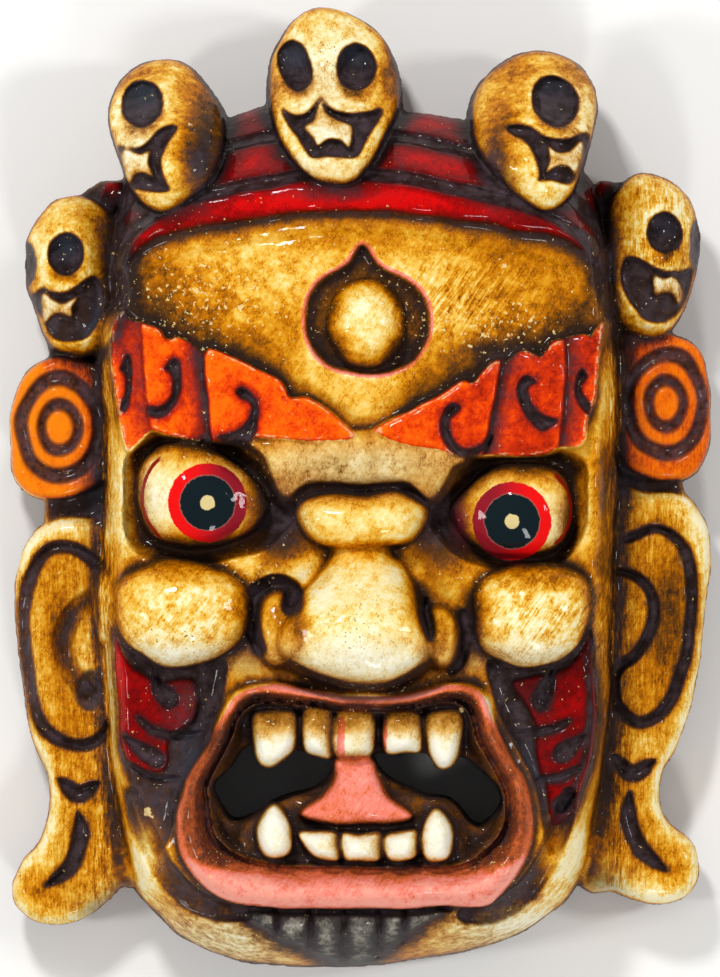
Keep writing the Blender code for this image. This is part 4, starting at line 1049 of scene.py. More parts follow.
def triangles_in(mesh):
    """How many triangles the mesh has once every face is cut into triangles."""
    return sum(len(face.vertices) - 2 for face in mesh.polygons)


def keep_mesh(item, mesh):
    """Give the object this mesh, with its modifiers spent."""
    item.modifiers.clear()
    old = item.data
    item.data = mesh
    mesh.name = old.name + "_finished"
    bpy.data.meshes.remove(old)


keep_mesh(mask, finished_mesh(mask))
print("even triangles:", triangles_in(mask.data))
mask.data.shade_smooth()
dense = bpy.data.objects.new("dense", mask.data.copy())
scene.collection.objects.link(dense)
thin = mask.modifiers.new("fewer triangles where it is flat", "DECIMATE")
thin.ratio = FRONT_TRIANGLES / triangles_in(mask.data)
keep_mesh(mask, finished_mesh(mask))
print("kept triangles:", triangles_in(mask.data))

# %% [markdown]
# ## Hollow the back
# The wearer's side is a deep bowl with room for nose and forehead, left rough from the gouge. The
# cutter is a ball squared off into a bowl shape, and a cell pattern dents it, so that the cut
# surface has the scalloped marks of a gouge. The Boolean also hands the cutter's material to the
# new surface, so the inside is bare wood with no further work.

# %% The cutter for the hollow
HOLLOW_HALF = (98.0, 173.0)
HOLLOW_MIDDLE = -22.0
HOLLOW_ROOF = 62.0
HOLLOW_SQUARENESS = 3.2
HOLLOW_STARTS = 110
# Extra room for the nose and the forehead: height, reach across, middle along, reach along.
HOLLOW_ROOMS = ((24.0, 30, -52, 34), (14.0, 80, 75, 50))
SCALLOP_WIDTH = 15
SCALLOP_DEPTH = 2.2

shape = bmesh.new()
bmesh.ops.create_uvsphere(shape, u_segments=2 * HOLLOW_STARTS, v_segments=HOLLOW_STARTS, radius=1)
for vert in shape.verts:
    x, y, z = vert.co
    flat = max(math.hypot(x, y), 1e-9)
    full = (abs(x) ** HOLLOW_SQUARENESS + abs(y) ** HOLLOW_SQUARENESS) ** (1 / HOLLOW_SQUARENESS)
    swell = flat / max(full, 1e-9)
    across = x * swell * HOLLOW_HALF[0]
    along = y * swell * HOLLOW_HALF[1] + HOLLOW_MIDDLE
    rise = HOLLOW_ROOF * math.copysign(abs(z) ** 0.75, z)
    if z > 0:
        for height, reach_x, middle_y, reach_y in HOLLOW_ROOMS:
            rise += height * math.exp(-((across / reach_x) ** 2) - ((along - middle_y) / reach_y) ** 2)
    vert.co = (across * MM, along * MM, rise * MM)
bmesh.ops.recalc_face_normals(shape, faces=shape.faces)
cutter_mesh = bpy.data.meshes.new("hollow_cutter")
shape.to_mesh(cutter_mesh)
shape.free()
cutter = bpy.data.objects.new("hollow_cutter", cutter_mesh)
scene.collection.objects.link(cutter)
scallops = bpy.data.textures.new("gouge scallops", "VORONOI")
scallops.noise_scale = SCALLOP_WIDTH * MM
scallops.distance_metric = "DISTANCE"
dents = cutter.modifiers.new("gouge scallops", "DISPLACE")
dents.texture = scallops
dents.texture_coords = "LOCAL"
dents.strength = -SCALLOP_DEPTH * MM
dents.mid_level = 0.0
print("cutter faces:", len(cutter_mesh.polygons))


# %% Cut the hollow
def material_named(name):
    """A new material with its own nodes."""
    material = bpy.data.materials.new(name)
    material.use_nodes = True
    return material


painted_wood = material_named("painted_and_varnished_carved_wood")
bare_wood = material_named("bare_wood_cut_with_a_gouge")
cutter.data.materials.append(bare_wood)
mask.data.materials.append(painted_wood)

cut = mask.modifiers.new("hollow the back", "BOOLEAN")
cut.operation = "DIFFERENCE"
cut.solver = "EXACT"
cut.material_mode = "TRANSFER"
cut.object = cutter
keep_mesh(mask, finished_mesh(mask))
bpy.data.objects.remove(cutter)

shape = bmesh.new()
shape.from_mesh(mask.data)
bmesh.ops.remove_doubles(shape, verts=shape.verts, dist=1e-5)
bmesh.ops.triangulate(shape, faces=shape.faces)
# The thinning leaves a few fins, two faces on the same three corners: both go.
on_corners = {}
for face in shape.faces:
    on_corners.setdefault(frozenset(face.verts), []).append(face)
fins = [face for same in on_corners.values() if len(same) > 1 for face in same]
bmesh.ops.delete(shape, geom=fins, context="FACES")
# The rasp marks may not reach below the ground that the rim lies on.
for vert in shape.verts:
    vert.co.z = max(vert.co.z, 0.0)
open_edges = sum(not edge.is_manifold for edge in shape.edges)
shape.to_mesh(mask.data)
shape.free()
mask.data.shade_smooth()
print("triangles:", triangles_in(mask.data), "open edges:", open_edges)

# %% Shade the thin mesh as the dense one
# The cut gave the hollow the cutter's material, in the second slot.
HOLLOW_SLOT = 1

in_hollow = set()
for face in mask.data.polygons:
    if face.material_index == HOLLOW_SLOT:
        in_hollow.update(face.vertices)
on_front = [vert.index for vert in mask.data.vertices if vert.index not in in_hollow]
carved_side = mask.vertex_groups.new(name="carved side")
carved_side.add(on_front, 1.0, "REPLACE")
turn = mask.modifiers.new("shade as the dense mesh does", "DATA_TRANSFER")
turn.object = dense
turn.use_loop_data = True
turn.data_types_loops = {"CUSTOM_NORMAL"}
turn.loop_mapping = "POLYINTERP_NEAREST"
turn.vertex_group = "carved side"
keep_mesh(mask, finished_mesh(mask))
mask.vertex_groups.clear()
bpy.data.objects.remove(dense)
print("materials:", [slot.name for slot in mask.data.materials])

# %% [markdown]
# ## Where the paints lie
# Each paint's mark says, in millimetres, how far inside its edge a point is, so the shader can draw
# a crisp edge between two points of the mesh. A brown stain was rubbed over the dry paint and wiped
# off the high places. It could be one more pattern over everything, but then it would ignore the
# carving. Here it is worked out from the carving itself: hollows and steep walls kept the stain,
# crests lost it.

# %% Stain left by rubbing: hollows keep it, crests lose it
# Each kind of hollow: how far round it looks, from which depth to which it fills, and how much.
HOLLOWS = ((2.5, 0.3, 4.0, 0.16), (5, 1.0, 10.0, 0.14), (9, 1.0, 16.0, 0.14))

heights = np.maximum(carving.z, back)
rise_y, rise_x = np.gradient(blur(heights, 1), CARVING_STEP)
steepness = np.hypot(rise_x, rise_y)
gathered = 0.12 * ramp(0.9, 2.6, steepness) * ramp(106, 98, np.abs(carving.x))
for reach, shallow, deep, much in HOLLOWS:
    gathered = gathered + much * ramp(shallow, deep, blur(heights, cells(reach)) - heights)
wiped = 0.10 * ramp(0.3, 3.0, heights - blur(heights, cells(2.5)))
stain = carving.stain + gathered * np.where(on_lip, 0.2, 1.0) - wiped
worn = ramp(0.16, 0.6, heights - blur(heights, cells(1.2))) * ramp(3.0, 1.0, steepness)
worn = worn * np.where(np.abs(carving.marks["vermilion"]) < 2.2, 1.0, 0.3)
print("most stain gathered", round(gathered.max(), 2), "and most wiped off", round(wiped.max(), 2),
      "; worn edge share", round(float((worn > 0.5).mean()), 3))

# %% [markdown]
# ## Shade sprayed by hand
# The painter darkened what should look deeper: under the brows, beside the nose, behind the skulls.
# Such shade has no edge. It could be painted onto a picture, but soft mounds in the drawing are
# easier to move and to weigh. Each one adds to the stain or to the dark paint (the smoke), and some
# take a little away where a rag left the paint clean. A few sprays are painted light instead: shadow
# under the nose tip, under the ear lobes and beside the left ear, and a highlight on the band.

# %% Places of the sprays
# Each spray: X, Y, reach across, reach along, and how much darker (or lighter) it makes the place.
STAIN_SPRAYS = {
    "forehead": [
        (60, 62, 16, 6, 0.3), (-86, 92, 24, 20, 0.24), (72, 92, 24, 16, 0.16), (0, 110, 60, 8, 0.20),
        (66, 104, 35, 9, 0.20), (93, 78, 9, 8, 0.20), (-30, 70, 14, 14, 0.16), (102, 90, 5, 14, 0.30),
        (-103, 90, 6, 16, 0.25), (44, 86, 16, 10, 0.04),
    ],
    "third eye": [(-9, 62, 7, 8, 0.42), (16, 60, 8, 7, 0.40), (14, 84, 6, 5, 0.12)],
    "eyes and frown": [
        (-66, -2, 34, 26, -0.22), (67, -6, 30, 26, -0.2), (-43, -4, 9, 10, 0.50),
        (-66, 19, 26, 6, 0.45), (43, -10, 6, 8, 0.42), (72, 10, 26, 7, 0.5), (-22, 10, 8, 8, 0.10),
        (24, 8, 8, 8, 0.10), (-8, 10, 2.5, 7, 0.20), (5, 12, 2.5, 7, 0.16), (-93, -12, 5, 14, 0.20),
        (90, -16, 5, 14, 0.34), (-66, -24, 26, 4, 0.34), (66, -29, 26, 4, 0.34),
    ],
    "nose and cheeks": [
        (0, -29, 16, 4, 0.2), (0, -5, 24, 4, 0.24), (-24, -40, 9, 9, -0.4), (20, -36, 7, 7, -0.3),
        (-90, -6, 6, 14, -0.22), (84, -20, 6, 10, -0.12), (50, -86, 10, 6, 0.46),
        (-50, -86, 10, 5, 0.16), (-26, -58, 5, 7, 0.22), (26, -50, 5, 12, 0.40),
        (-80, -35, 30, 7, 0.30), (-102, -52, 5, 16, 0.10), (78, -36, 28, 8, 0.36),
        (98, -52, 5, 16, 0.15), (50, -52, 6, 14, 0.36), (-50, -52, 6, 12, 0.36),
        (-44, -36, 12, 6, -0.2), (52, -40, 10, 5, -0.1),
    ],
    "round the mouth": [
        # The first spray here, at (0, -86), is painted shade: the nose's shadow over the top of the lip.
        (0, -86, 46, 3, 0.16), (0, -91, 8, 2, -0.1), (-66, -100, 6, 14, 0.30), (66, -100, 6, 14, 0.30),
        (0, -91, 16, 2.0, -0.3), (-47.5, -90, 5, 3, 0.2), (57, -93, 3, 7, -0.3),
    ],
    "ears": [
        # The spray at (-110, -60) is a painted shadow: the dark strip where the left ear meets the head.
        (-110, -60, 4, 40, 0.3), (-128, -100, 8, 8, 0.12), (122, -56, 7, 20, 0.12),
        (-147, -60, 5, 46, -0.20), (-128, -19, 18, 6, -0.20), (-124, -46, 10, 14, -0.05),
        (137, -56, 8, 30, 0.36), (-132, -62, 6, 20, 0.30), (-119, -68, 6, 14, -0.3),
        (120, -56, 6, 12, -0.16), (146, -20, 10, 16, -0.14), (112, -60, 5, 12, -0.12),
        (-146, -178, 10, 8, 0.10), (140, -172, 10, 8, 0.12), (-106, -150, 8, 30, 0.22),
        (134, -178, 12, 6, -0.15), (108, -140, 8, 26, 0.18), (122, -112, 14, 8, -0.08),
    ],
    "skulls": [
        (13, 180, 6, 20, 0.52), (-38, 172, 4, 14, 0.24), (-26, 172, 7, 3, 0.20), (-1, 172, 8, 3, 0.24),
        (-70, 172, 10, 14, 0.36), (-98, 156, 7, 3, 0.24), (-72, 146, 8, 16, 0.60),
        (-64, 154, 6, 16, 0.5), (88, 156, 8, 3, 0.14), (60, 150, 8, 18, 0.55), (70, 184, 12, 8, 0.30),
        (64, 168, 8, 10, 0.20), (-98, 180, 14, 8, 0.26), (94, 182, 12, 10, 0.24),
        (-116, 118, 12, 12, 0.22), (-109, 98, 7, 26, 0.55), (-132, 92, 8, 3, 0.16),
        (110, 104, 6, 26, 0.50), (136, 101, 8, 3, 0.20), (122, 128, 12, 8, 0.22),
        (-132, 60, 16, 5, 0.3),
    ],
    "discs": [
        (-122, 50, 14, 8, 0.16), (-130, 8, 22, 6, 0.12), (130, 12, 22, 6, 0.12),
        (116, 62, 12, 12, 0.40), (150, 30, 6, 30, 0.14),
    ],
    "jaw": [
        (-97, -163, 7, 18, -0.34), (96, -163, 7, 18, -0.34), (72, -190, 14, 7, -0.32),
        (-30, -204, 26, 6, 0.10), (30, -205, 26, 5, 0.08), (-92, -160, 6, 16, -0.3),
        (85, -160, 6, 16, -0.4),
    ],
    "side walls": [
        # The spray at (-10, 124) lightens the band's lowest roll: a painted highlight, the glare of a lamp
        # in the varnish.
        (-110, -86, 5, 34, -0.5), (-110, 10, 4, 50, 0.04), (-10, 124, 60, 4, -0.16),
        (108, -60, 5, 50, 0.34), (108, 0, 6, 30, 0.5),
    ],
}
SMOKE_SPRAYS = {
    "beside the skulls": [
        (-70, 136, 6, 14, 0.75), (-66, 144, 5, 8, 0.60), (57, 140, 6, 12, 0.70), (60, 134, 7, 10, 0.6),
        (16, 144, 5, 8, 0.16), (-42, 142, 4, 7, 0.16), (-108, 88, 5, 26, 0.65), (110, 96, 5, 26, 0.65),
        (-112, 108, 6, 12, 0.40), (-14, 128, 20, 3, 0.3),
    ],
    "eyes and nose": [
        (0, -28, 14, 4, -0.4), (-24, -40, 8, 8, -0.6), (20, -36, 7, 7, -0.4), (-32, -14, 8, 14, 0.5),
        # The spray at (0, -84.5) is a painted shadow: the thin dark line under the nose tip.
        (33, -16, 8, 14, 0.5), (0, -84.5, 22, 1.6, 0.25), (-47, -70, 5, 8, 0.50),
        (49, -68, 5, 12, 0.60), (0, 1, 26, 2.5, 0.25),
    ],
    "forehead": [(58, 58, 20, 7, 0.20)],
    "ears": [
        # The first three sprays, under the ear lobes, are painted shadow on the lobes' thick lower side.
        (-116, -186, 10, 6, 0.55), (-104, -178, 8, 8, 0.6), (108, -174, 11, 8, 0.65),
        (-115, -14, 5, 5, 0.7), (-119, 4, 5, 8, 0.6), (117, 2, 6, 8, 0.6),
    ],
    "jaw": [(-92, -160, 6, 16, -0.7), (85, -160, 6, 16, -0.9)],
    "back to bone": [
        (-132, 67, 5, 2.6, -0.7), (133, 78, 6, 3, -0.55), (-121, 79, 2.4, 7, -0.6),
        (122, 88, 2.6, 8, -0.55), (-135, 62, 8, 2.5, -0.5),
    ],
}
print("sprays:", sum(len(sprays) for sprays in [*STAIN_SPRAYS.values(), *SMOKE_SPRAYS.values()]))


# %% Spray the shade
def sprayed(field, sprays):
    """A field after some sprays."""
    for x, y, reach_x, reach_y, amount in sprays:
        field = field + amount * carving.mound(x, y, reach_x, reach_y)
    return field


for sprays in STAIN_SPRAYS.values():
    stain = sprayed(stain, sprays)
smoke = carving.smoke
for sprays in SMOKE_SPRAYS.values():
    smoke = sprayed(smoke, sprays)
marks = carving.marks

# The forehead is darkest just above the flaming brows and clears upwards.
in_brows = np.maximum(*[carving.inside(outline, margin=45, ridge=0) for outline in BROWS])
above_brows = np.maximum(-in_brows, 0)
over_left = ramp(-10, -52, carving.x) * ramp(-112, -98, carving.x)
over_right = ramp(10, 26, carving.x) * ramp(106, 96, carving.x)
on_forehead = ramp(22, 34, carving.y) * (over_left + over_right) * (marks["red"] < 0)
on_forehead = on_forehead * ramp(2.0, -1.0, third_eye_depth) * ramp(0.8, -0.8, in_brows)
stain = stain + on_forehead * (0.74 * np.exp(-above_brows / 12) - 0.02)
stain = np.clip(blur(stain, 1), 0, 1.0)
smoke = np.clip(blur(smoke, 1), 0, 0.97)
print("stain and smoke, mean over the drawing:", round(stain.mean(), 2), "and", round(smoke.mean(), 2))

# %% [markdown]
# ## Streaks, specks and chips
# Close up the paint isn't even. The brush was dragged over the forehead and down the side walls,
# grit stuck in the wet varnish, chalky patches were left pale, and flakes broke off down to the
# light ground. Some pale patches, at the nose tip and the bottoms of the cheeks, are a painted
# highlight, and the bluish places on the dark paint are a painted sheen. One pattern laid over
# everything would look like cloth. So each of these traces has its own places here, and its fine
# pattern shows only where they are strong.

# %% Places of streaks, specks, flakes and chips
# Each place: X, Y, reach across, reach along and strength.
PLACES = {
    "dragged": [
        (44, 84, 24, 14, 1), (80, -58, 24, 16, 1), (-78, -60, 22, 14, 0.6), (0, -140, 16, 10, 0.3),
        (0, -176, 60, 8, 0.3),
    ],
    "speckled": [
        (-14, 190, 12, 20, 1), (-100, 160, 10, 30, 0.8), (0, -62, 34, 24, 0.8), (-78, -66, 30, 12, 0.9),
        (75, 182, 18, 10, 0.5), (95, 160, 8, 20, 0.8), (-40, 40, 60, 24, 0.5), (60, 36, 50, 20, 0.6),
        (0, 10, 40, 10, 0.4),
    ],
    "chipped": [
        (-66, 84, 40, 26, 0.8), (56, 70, 42, 14, 0.9), (0, 96, 60, 14, 0.3), (-45, -36, 14, 8, 0.9),
        (48, -40, 14, 8, 0.6), (-68, 10, 30, 12, 0.4), (0, -90, 60, 6, 0.5), (-60, -165, 16, 12, 0.5),
        (60, -165, 16, 12, 0.5),
    ],
    "mottled": [
        (-66, 84, 40, 26, 0.35), (56, 70, 42, 20, 0.4), (-60, -196, 44, 24, 0.9),
        (66, -192, 40, 24, 0.9), (-80, -55, 26, 20, 0.5), (80, -55, 26, 20, 0.6),
    ],
    # Pale chalky paint; at the nose tip and the bottoms of the cheeks these pale patches are a painted
    # highlight.
    "chalky": [
        (0, -75, 30, 9, 1.0), (0, 10, 44, 10, 0.85), (-78, -73, 24, 6, 0.8), (76, -73, 24, 6, 0.8),
        (-60, -200, 40, 14, 0.8), (66, -196, 36, 14, 0.7), (-91, -6, 7, 16, 0.8), (86, -18, 7, 12, 0.6),
        (-20, 140, 20, 6, 0.5), (-16, 180, 15, 20, 0.6), (-98, 154, 9, 20, 0.55),
        (95, 165, 10, 20, 0.3),
    ],
    "crimson": [(44, -15, 3.2, 9, 0.75), (-49, -12, 3, 8, 0.35)],
    # Slate-blue tint on the dark paint, mostly a painted sheen: light reflected in the glossy varnish.
    "slaty": [
        (-28.5, 191, 7, 6, 1), (-2, 191, 8, 6, 1), (-96, 173, 8, 7, 1), (86, 177, 8, 6, 0.6),
        (-130, 107, 7, 6, 1), (134, 116, 7, 5, 0.6), (-112, -2, 10, 8, 1), (112, 6, 8, 8, 0.5),
        (-75, -118, 7, 14, 0.9), (74, -122, 6, 12, 0.7), (-90, -146, 6, 14, 0.8),
        (88, -150, 5, 12, 0.6), (-117, 72, 4, 8, 0.9), (-72, 138, 5, 10, 0.6),
    ],
}
# Larger chips down to the pale ground: X, Y and radius of each.
CHIPS = [
    (-98, -128, 1.1), (-92.5, -141.5, 2.0), (-90.5, -142.5, 1.4), (-73, 158, 1.2), (44.5, -97, 0.9),
    (75, -44, 1.1), (63, 97, 1.2), (-71, 86, 1.5), (-58, 97, 1.2), (-84, 92, 1.3), (-52, 78, 1.0),
    (48, 61, 1.3), (66, 66, 1.2),
]
print("places:", sum(len(spots) for spots in PLACES.values()), "and single chips:", len(CHIPS))

# %% Where the brush dragged, grit stuck and paint flaked
traces = {name: np.clip(sprayed(0, spots), 0, 1) for name, spots in PLACES.items()}
on_flames = ramp(-0.5, 0.5, marks["vermilion"])
traces["chipped"] = np.clip(traces["chipped"] + 0.03, 0, 1) * (1 - 0.8 * on_flames)
traces["mottled"] = np.maximum(traces["mottled"], 0.3 * ramp(-2, 1, marks["skull"]))
traces["mottled"] = np.maximum(traces["mottled"], 0.3 * on_flames)
upright = ramp(104, 112, np.abs(carving.x)) * (1 - 0.55 * ramp(114, 120, np.abs(carving.x)))
upright = upright * (1 - 0.7 * ramp(-4, 0, marks["skull"]))
traces["upright"] = np.maximum(upright, carving.mound(134, 110, 18, 34))
chips = np.full(carving.x.shape, -8.0)
for x, y, radius in CHIPS:
    chips = np.maximum(chips, radius - np.hypot(carving.x - x, carving.y - y))
traces["chips"] = chips
print("traces of brush and wear:", ", ".join(traces))

# %% [markdown]
# ## From the drawing to the mesh
# A shader can read any value that is kept at the points of the mesh. Wrapping pictures over the
# carving would need an unwrapped mesh and would smear on the walls. So each field of the drawing is
# read where a point of the mesh lies, and kept there as an attribute. Two more values come from the
# mesh: how far a point of the side walls lies below the edge over it, and how close to the
# underside it is, where the wood is bare.


# %% Read the drawing at each point of the mesh
def sample(field, x, y):
    """A field of the drawing at any points, between its grid points."""
    column = np.clip((x + HALF_WIDTH) / CARVING_STEP, 0, columns - 1.001)
    row = np.clip((y + HALF_HEIGHT) / CARVING_STEP, 0, rows - 1.001)
    i = column.astype(int)
    j = row.astype(int)
    u = column - i
    v = row - j
    lower = field[j, i] * (1 - u) + field[j, i + 1] * u
    upper = field[j + 1, i] * (1 - u) + field[j + 1, i + 1] * u
    return lower * (1 - v) + upper * v


points = np.empty(len(mask.data.vertices) * 3)
mask.data.vertices.foreach_get("co", points)
point_x, point_y, point_z = points.reshape(-1, 3).T / MM
local_top = heights
for axis in (0, 1, 0, 1):
    neighbours = np.maximum(np.roll(local_top, 1, axis), np.roll(local_top, -1, axis))
    local_top = np.maximum(local_top, neighbours)

PAINT_ORDER = ("red", "orange", "vermilion", "slate", "teeth", "pink")
fields = {"mark_" + paint: np.clip(marks[paint], -8, 8) for paint in PAINT_ORDER}
fields.update({"stain": stain, "smoke": smoke, "worn": worn, **traces})
kept = {name: sample(field, point_x, point_y) for name, field in fields.items()}
kept["over_side"] = ramp(4, 30, sample(local_top, point_x, point_y) - point_z)
kept["bare"] = ramp(3.5, 0.5, point_z - sample(back, point_x, point_y))
for name, values in kept.items():
    attribute = mask.data.attributes.new(name, "FLOAT", "POINT")
    attribute.data.foreach_set("value", values.astype(np.float32))
print("attributes:", len(kept), "at", len(point_x), "points")

# %% [markdown]
# ## The painted surface
# The paints are thin oil colours on carved wood, rubbed with brown stain. What the eye sees is brush
# streaks, stain that stayed in the cuts, and chips. Each paint could have a plain colour with brown
# mixed in, but real stained paint turns warmer before it turns dark. So each paint is a colour ramp
# that runs from clean paint to paint drowned in stain, and one stain value drives them all. The
# shade then runs on from paint to paint the way it was rubbed.


# %% Colours and nodes
def colour(code):
    """An sRGB hex colour as the linear values that a shader takes."""
    parts = [int(code[i:i + 2], 16) / 255 for i in (1, 3, 5)]
    return [p / 12.92 if p <= 0.04045 else ((p + 0.055) / 1.055) ** 2.4 for p in parts] + [1.0]


def add(tree, kind, inputs=None, **settings):
    """Add one node; inputs are values or the sockets to link from."""
    node = tree.nodes.new(kind)
    for name, value in settings.items():
        setattr(node, name, value)
    for name, value in (inputs or {}).items():
        socket = node.inputs[name]
        if isinstance(value, bpy.types.NodeSocket):
            tree.links.new(value, socket)
        else:
            socket.default_value = value
    return node


tree = painted_wood.node_tree
tree.nodes.clear()
print("half grey in linear light:", round(colour("#808080")[0], 3))

# %% [markdown]
# ## Patterns of brush, rag and wear
# Every trace of the hand is a noise with a size of its own: clouds of stain two centimetres wide,
# blotches where the rag was pressed, the weave of the rag, grit in the varnish, flakes, brush
# streaks and fine crackle. Streaks are the same noise, stretched eight to ten times along the
# stroke.

# %% The patterns, sized in millimetres
# Each space: where it starts from, its stretch, and its turn in degrees.
space = {"object": add(tree, "ShaderNodeTexCoord").outputs["Object"]}
for name, start, stretch, degrees in (
    ("in mm", "object", (1 / MM, 1 / MM, 1 / MM), 0),
    ("upright", "in mm", (1.0, 0.12, 0.12), 0),
    ("turned", "in mm", (1.0, 1.0, 1.0), 35),
    ("slanted", "turned", (1.0, 0.1, 0.1), 0),
    ("crinkle", "in mm", (1.3, 0.6, 0.8), 0),
):
    mapping = add(tree, "ShaderNodeMapping", {
        "Vector": space[start], "Rotation": (0, 0, math.radians(degrees)), "Scale": stretch})
    space[name] = mapping.outputs[0]

# Each pattern: its space, how wide one patch is in millimetres, its detail and its roughness.
# Real grit, flakes and crackle are about 0.3 mm wide. Speck, flake, skin and crinkle are drawn
# several times coarser than that, so that they still show when the whole mask is in view.
PATTERNS = {
    "cloud": ("in mm", 22.222, 4.0, 0.6),
    "blotch": ("in mm", 6.25, 5.0, 0.62),
    "rag": ("in mm", 2.381, 4.0, 0.6),
    "speck": ("in mm", 1.0, 2.0, 0.5),
    "flake": ("in mm", 2.0, 3.0, 0.55),
    "upright": ("upright", 1.0, 5.0, 0.7),
    "slanted": ("slanted", 1.0, 5.0, 0.7),
    "skin": ("in mm", 2.2222, 1.5, 0.5),
    "crinkle": ("crinkle", 2.0, 2.0, 0.55),
}
pattern = {}
for name, (follows, size, detail, rough) in PATTERNS.items():
    noise = add(tree, "ShaderNodeTexNoise", {
        "Vector": space[follows], "Scale": 1 / size, "Detail": detail, "Roughness": rough})
    pattern[name] = noise.outputs["Fac"]
read = {name: add(tree, "ShaderNodeAttribute", attribute_name=name).outputs["Fac"] for name in kept}
print("patterns:", ", ".join(pattern))


# %% Sums and swings of values
def sum_of(tree, start, *parts):
    """start plus each part; a part is (value, factor) or (value, factor, more values to multiply in)."""
    total = start
    for value, factor, *others in parts:
        for other in others:
            value = add(tree, "ShaderNodeMath", {0: value, 1: other}, operation="MULTIPLY").outputs[0]
        total = add(tree, "ShaderNodeMath", {
            0: value, 1: factor, 2: total}, operation="MULTIPLY_ADD").outputs[0]
    return total


# A swing is a pattern as a value about zero.
SWINGING = ("cloud", "blotch", "rag", "speck", "upright", "slanted", "crinkle")
swing = {name: sum_of(tree, -0.5, (pattern[name], 1.0)) for name in SWINGING}
print("swings:", ", ".join(swing))

# %% [markdown]
# ## Eyes
# Each iris is a few rounds laid with a brush: a red ring, a blue-black pupil with a dull rim and a
# gold dot, and a thin red line runs near the outer corner. They could be carved or cut from the
# mesh, but on the real balls they are only paint. So they are drawn as distances from the middle of
# the eye, and the weave of the rag makes their edges a little uneven.

# %% How far each point is from the eyes
# Each line near an outer corner: middle of its circle, its radius, and how far out it starts.
EYE_LINES = [((-72.5, -4), 22.6, 86.0), ((72.5, -9), 19.8, 84.0)]
IRIS_ROUNDS = {"red ring": 17.2, "rim of the pupil": 12.3, "pupil": 11.9, "gold dot": 3.2}

split = add(tree, "ShaderNodeSeparateXYZ", {"Vector": space["in mm"]})
flat_place = add(tree, "ShaderNodeCombineXYZ", {
    "X": split.outputs["X"], "Y": split.outputs["Y"]}).outputs[0]
outward = add(tree, "ShaderNodeMath", {0: split.outputs["X"]}, operation="ABSOLUTE").outputs[0]
far_from = {}
for x, y in EYE_MIDDLES + [middle for middle, radius, start in EYE_LINES]:
    far = add(tree, "ShaderNodeVectorMath", {0: flat_place, 1: (x, y, 0)}, operation="DISTANCE")
    far_from[x, y] = far.outputs["Value"]
left_eye, right_eye = EYE_MIDDLES
nearest = add(tree, "ShaderNodeMath", {
    0: far_from[left_eye], 1: far_from[right_eye]}, operation="MINIMUM").outputs[0]
brushed = sum_of(tree, nearest, (swing["rag"], 1.8))
print("iris rounds:", ", ".join(IRIS_ROUNDS))

# %% [markdown]
# ## Edges
# A brushed edge isn't cut with scissors: over half a millimetre the paint goes from none to full,
# and the line wanders with the rag's weave. Flakes, grit and crackle have edges too, where their
# pattern passes a limit. All of them are one smooth step each, between where a cover begins and
# where it is full.

# %% How much each cover hides at each point
off_crinkle = add(tree, "ShaderNodeMath", {0: swing["crinkle"]}, operation="ABSOLUTE").outputs[0]
# Each edge: the value that decides it, where the cover begins and where it is full.
edges = {
    "blotches": (pattern["blotch"], 0.42, 0.58),
    "crinkles": (off_crinkle, 0.05, 0.005),
    "purple": (pattern["blotch"], 0.35, 0.65),
    "worn through": (sum_of(tree, 0.0, (read["worn"], 1.0), (swing["rag"], 2.2)), 0.62, 0.95),
    "flakes": (sum_of(tree, 0.0, (pattern["flake"], 1.0), (read["chipped"], 0.13)), 0.705, 0.735),
    "specks": (sum_of(tree, 0.0, (pattern["speck"], 1.0), (read["speckled"], 0.17)), 0.79, 0.82),
    "chips": (sum_of(tree, 0.0, (read["chips"], 1.0), (swing["rag"], 4.0)), -0.2, 0.2),
    "bare": (sum_of(tree, 0.0, (read["bare"], 1.0), (swing["rag"], 0.8)), 0.4, 0.6),
    "brighter ring": (outward, 56, 76),
}
wander = sum_of(tree, 0.0, (swing["rag"], 1.3))
for paint in PAINT_ORDER:
    edges[paint] = (sum_of(tree, wander, (read["mark_" + paint], 1.0)), -0.25, 0.25)
for name, radius in IRIS_ROUNDS.items():
    edges[name] = (brushed, radius + 0.25, radius - 0.25)
for middle, radius, start in EYE_LINES:
    off_circle = sum_of(tree, -radius, (far_from[middle], 1.0), (swing["blotch"], 1.6))
    off_line = add(tree, "ShaderNodeMath", {0: off_circle}, operation="ABSOLUTE").outputs[0]
    edges["line", middle] = (off_line, 1.0, 0.6)
    edges["end of line", middle] = (outward, start, start + 2)
cover = {}
for name, (value, begins, full) in edges.items():
    step = add(tree, "ShaderNodeMapRange", {
        "Value": value, "From Min": begins, "From Max": full}, interpolation_type="SMOOTHSTEP")
    cover[name] = step.outputs[0]
print("edges:", len(cover))

# %% Stain and dark paint as the shader sees them
crinkles = sum_of(tree, 0.0, (cover["crinkles"], 1.0, cover["blotches"]))
stain_here = sum_of(
    tree, 0.0,
    (read["stain"], 1.0), (swing["cloud"], 0.45), (swing["rag"], 0.32), (swing["speck"], 0.14),
    (swing["blotch"], 0.34), (crinkles, 0.15), (swing["slanted"], 0.22),
    (swing["blotch"], 0.9, read["mottled"]), (swing["rag"], 0.6, read["mottled"]),
    (swing["upright"], 1.7, read["upright"]), (swing["slanted"], 1.3, read["dragged"]),
    (read["worn"], -0.16), (read["over_side"], 0.12),
)
smoke_here = sum_of(tree, 0.0, (read["smoke"], 1.0), (swing["rag"], 0.4, read["smoke"]))
print("nodes so far:", len(tree.nodes))

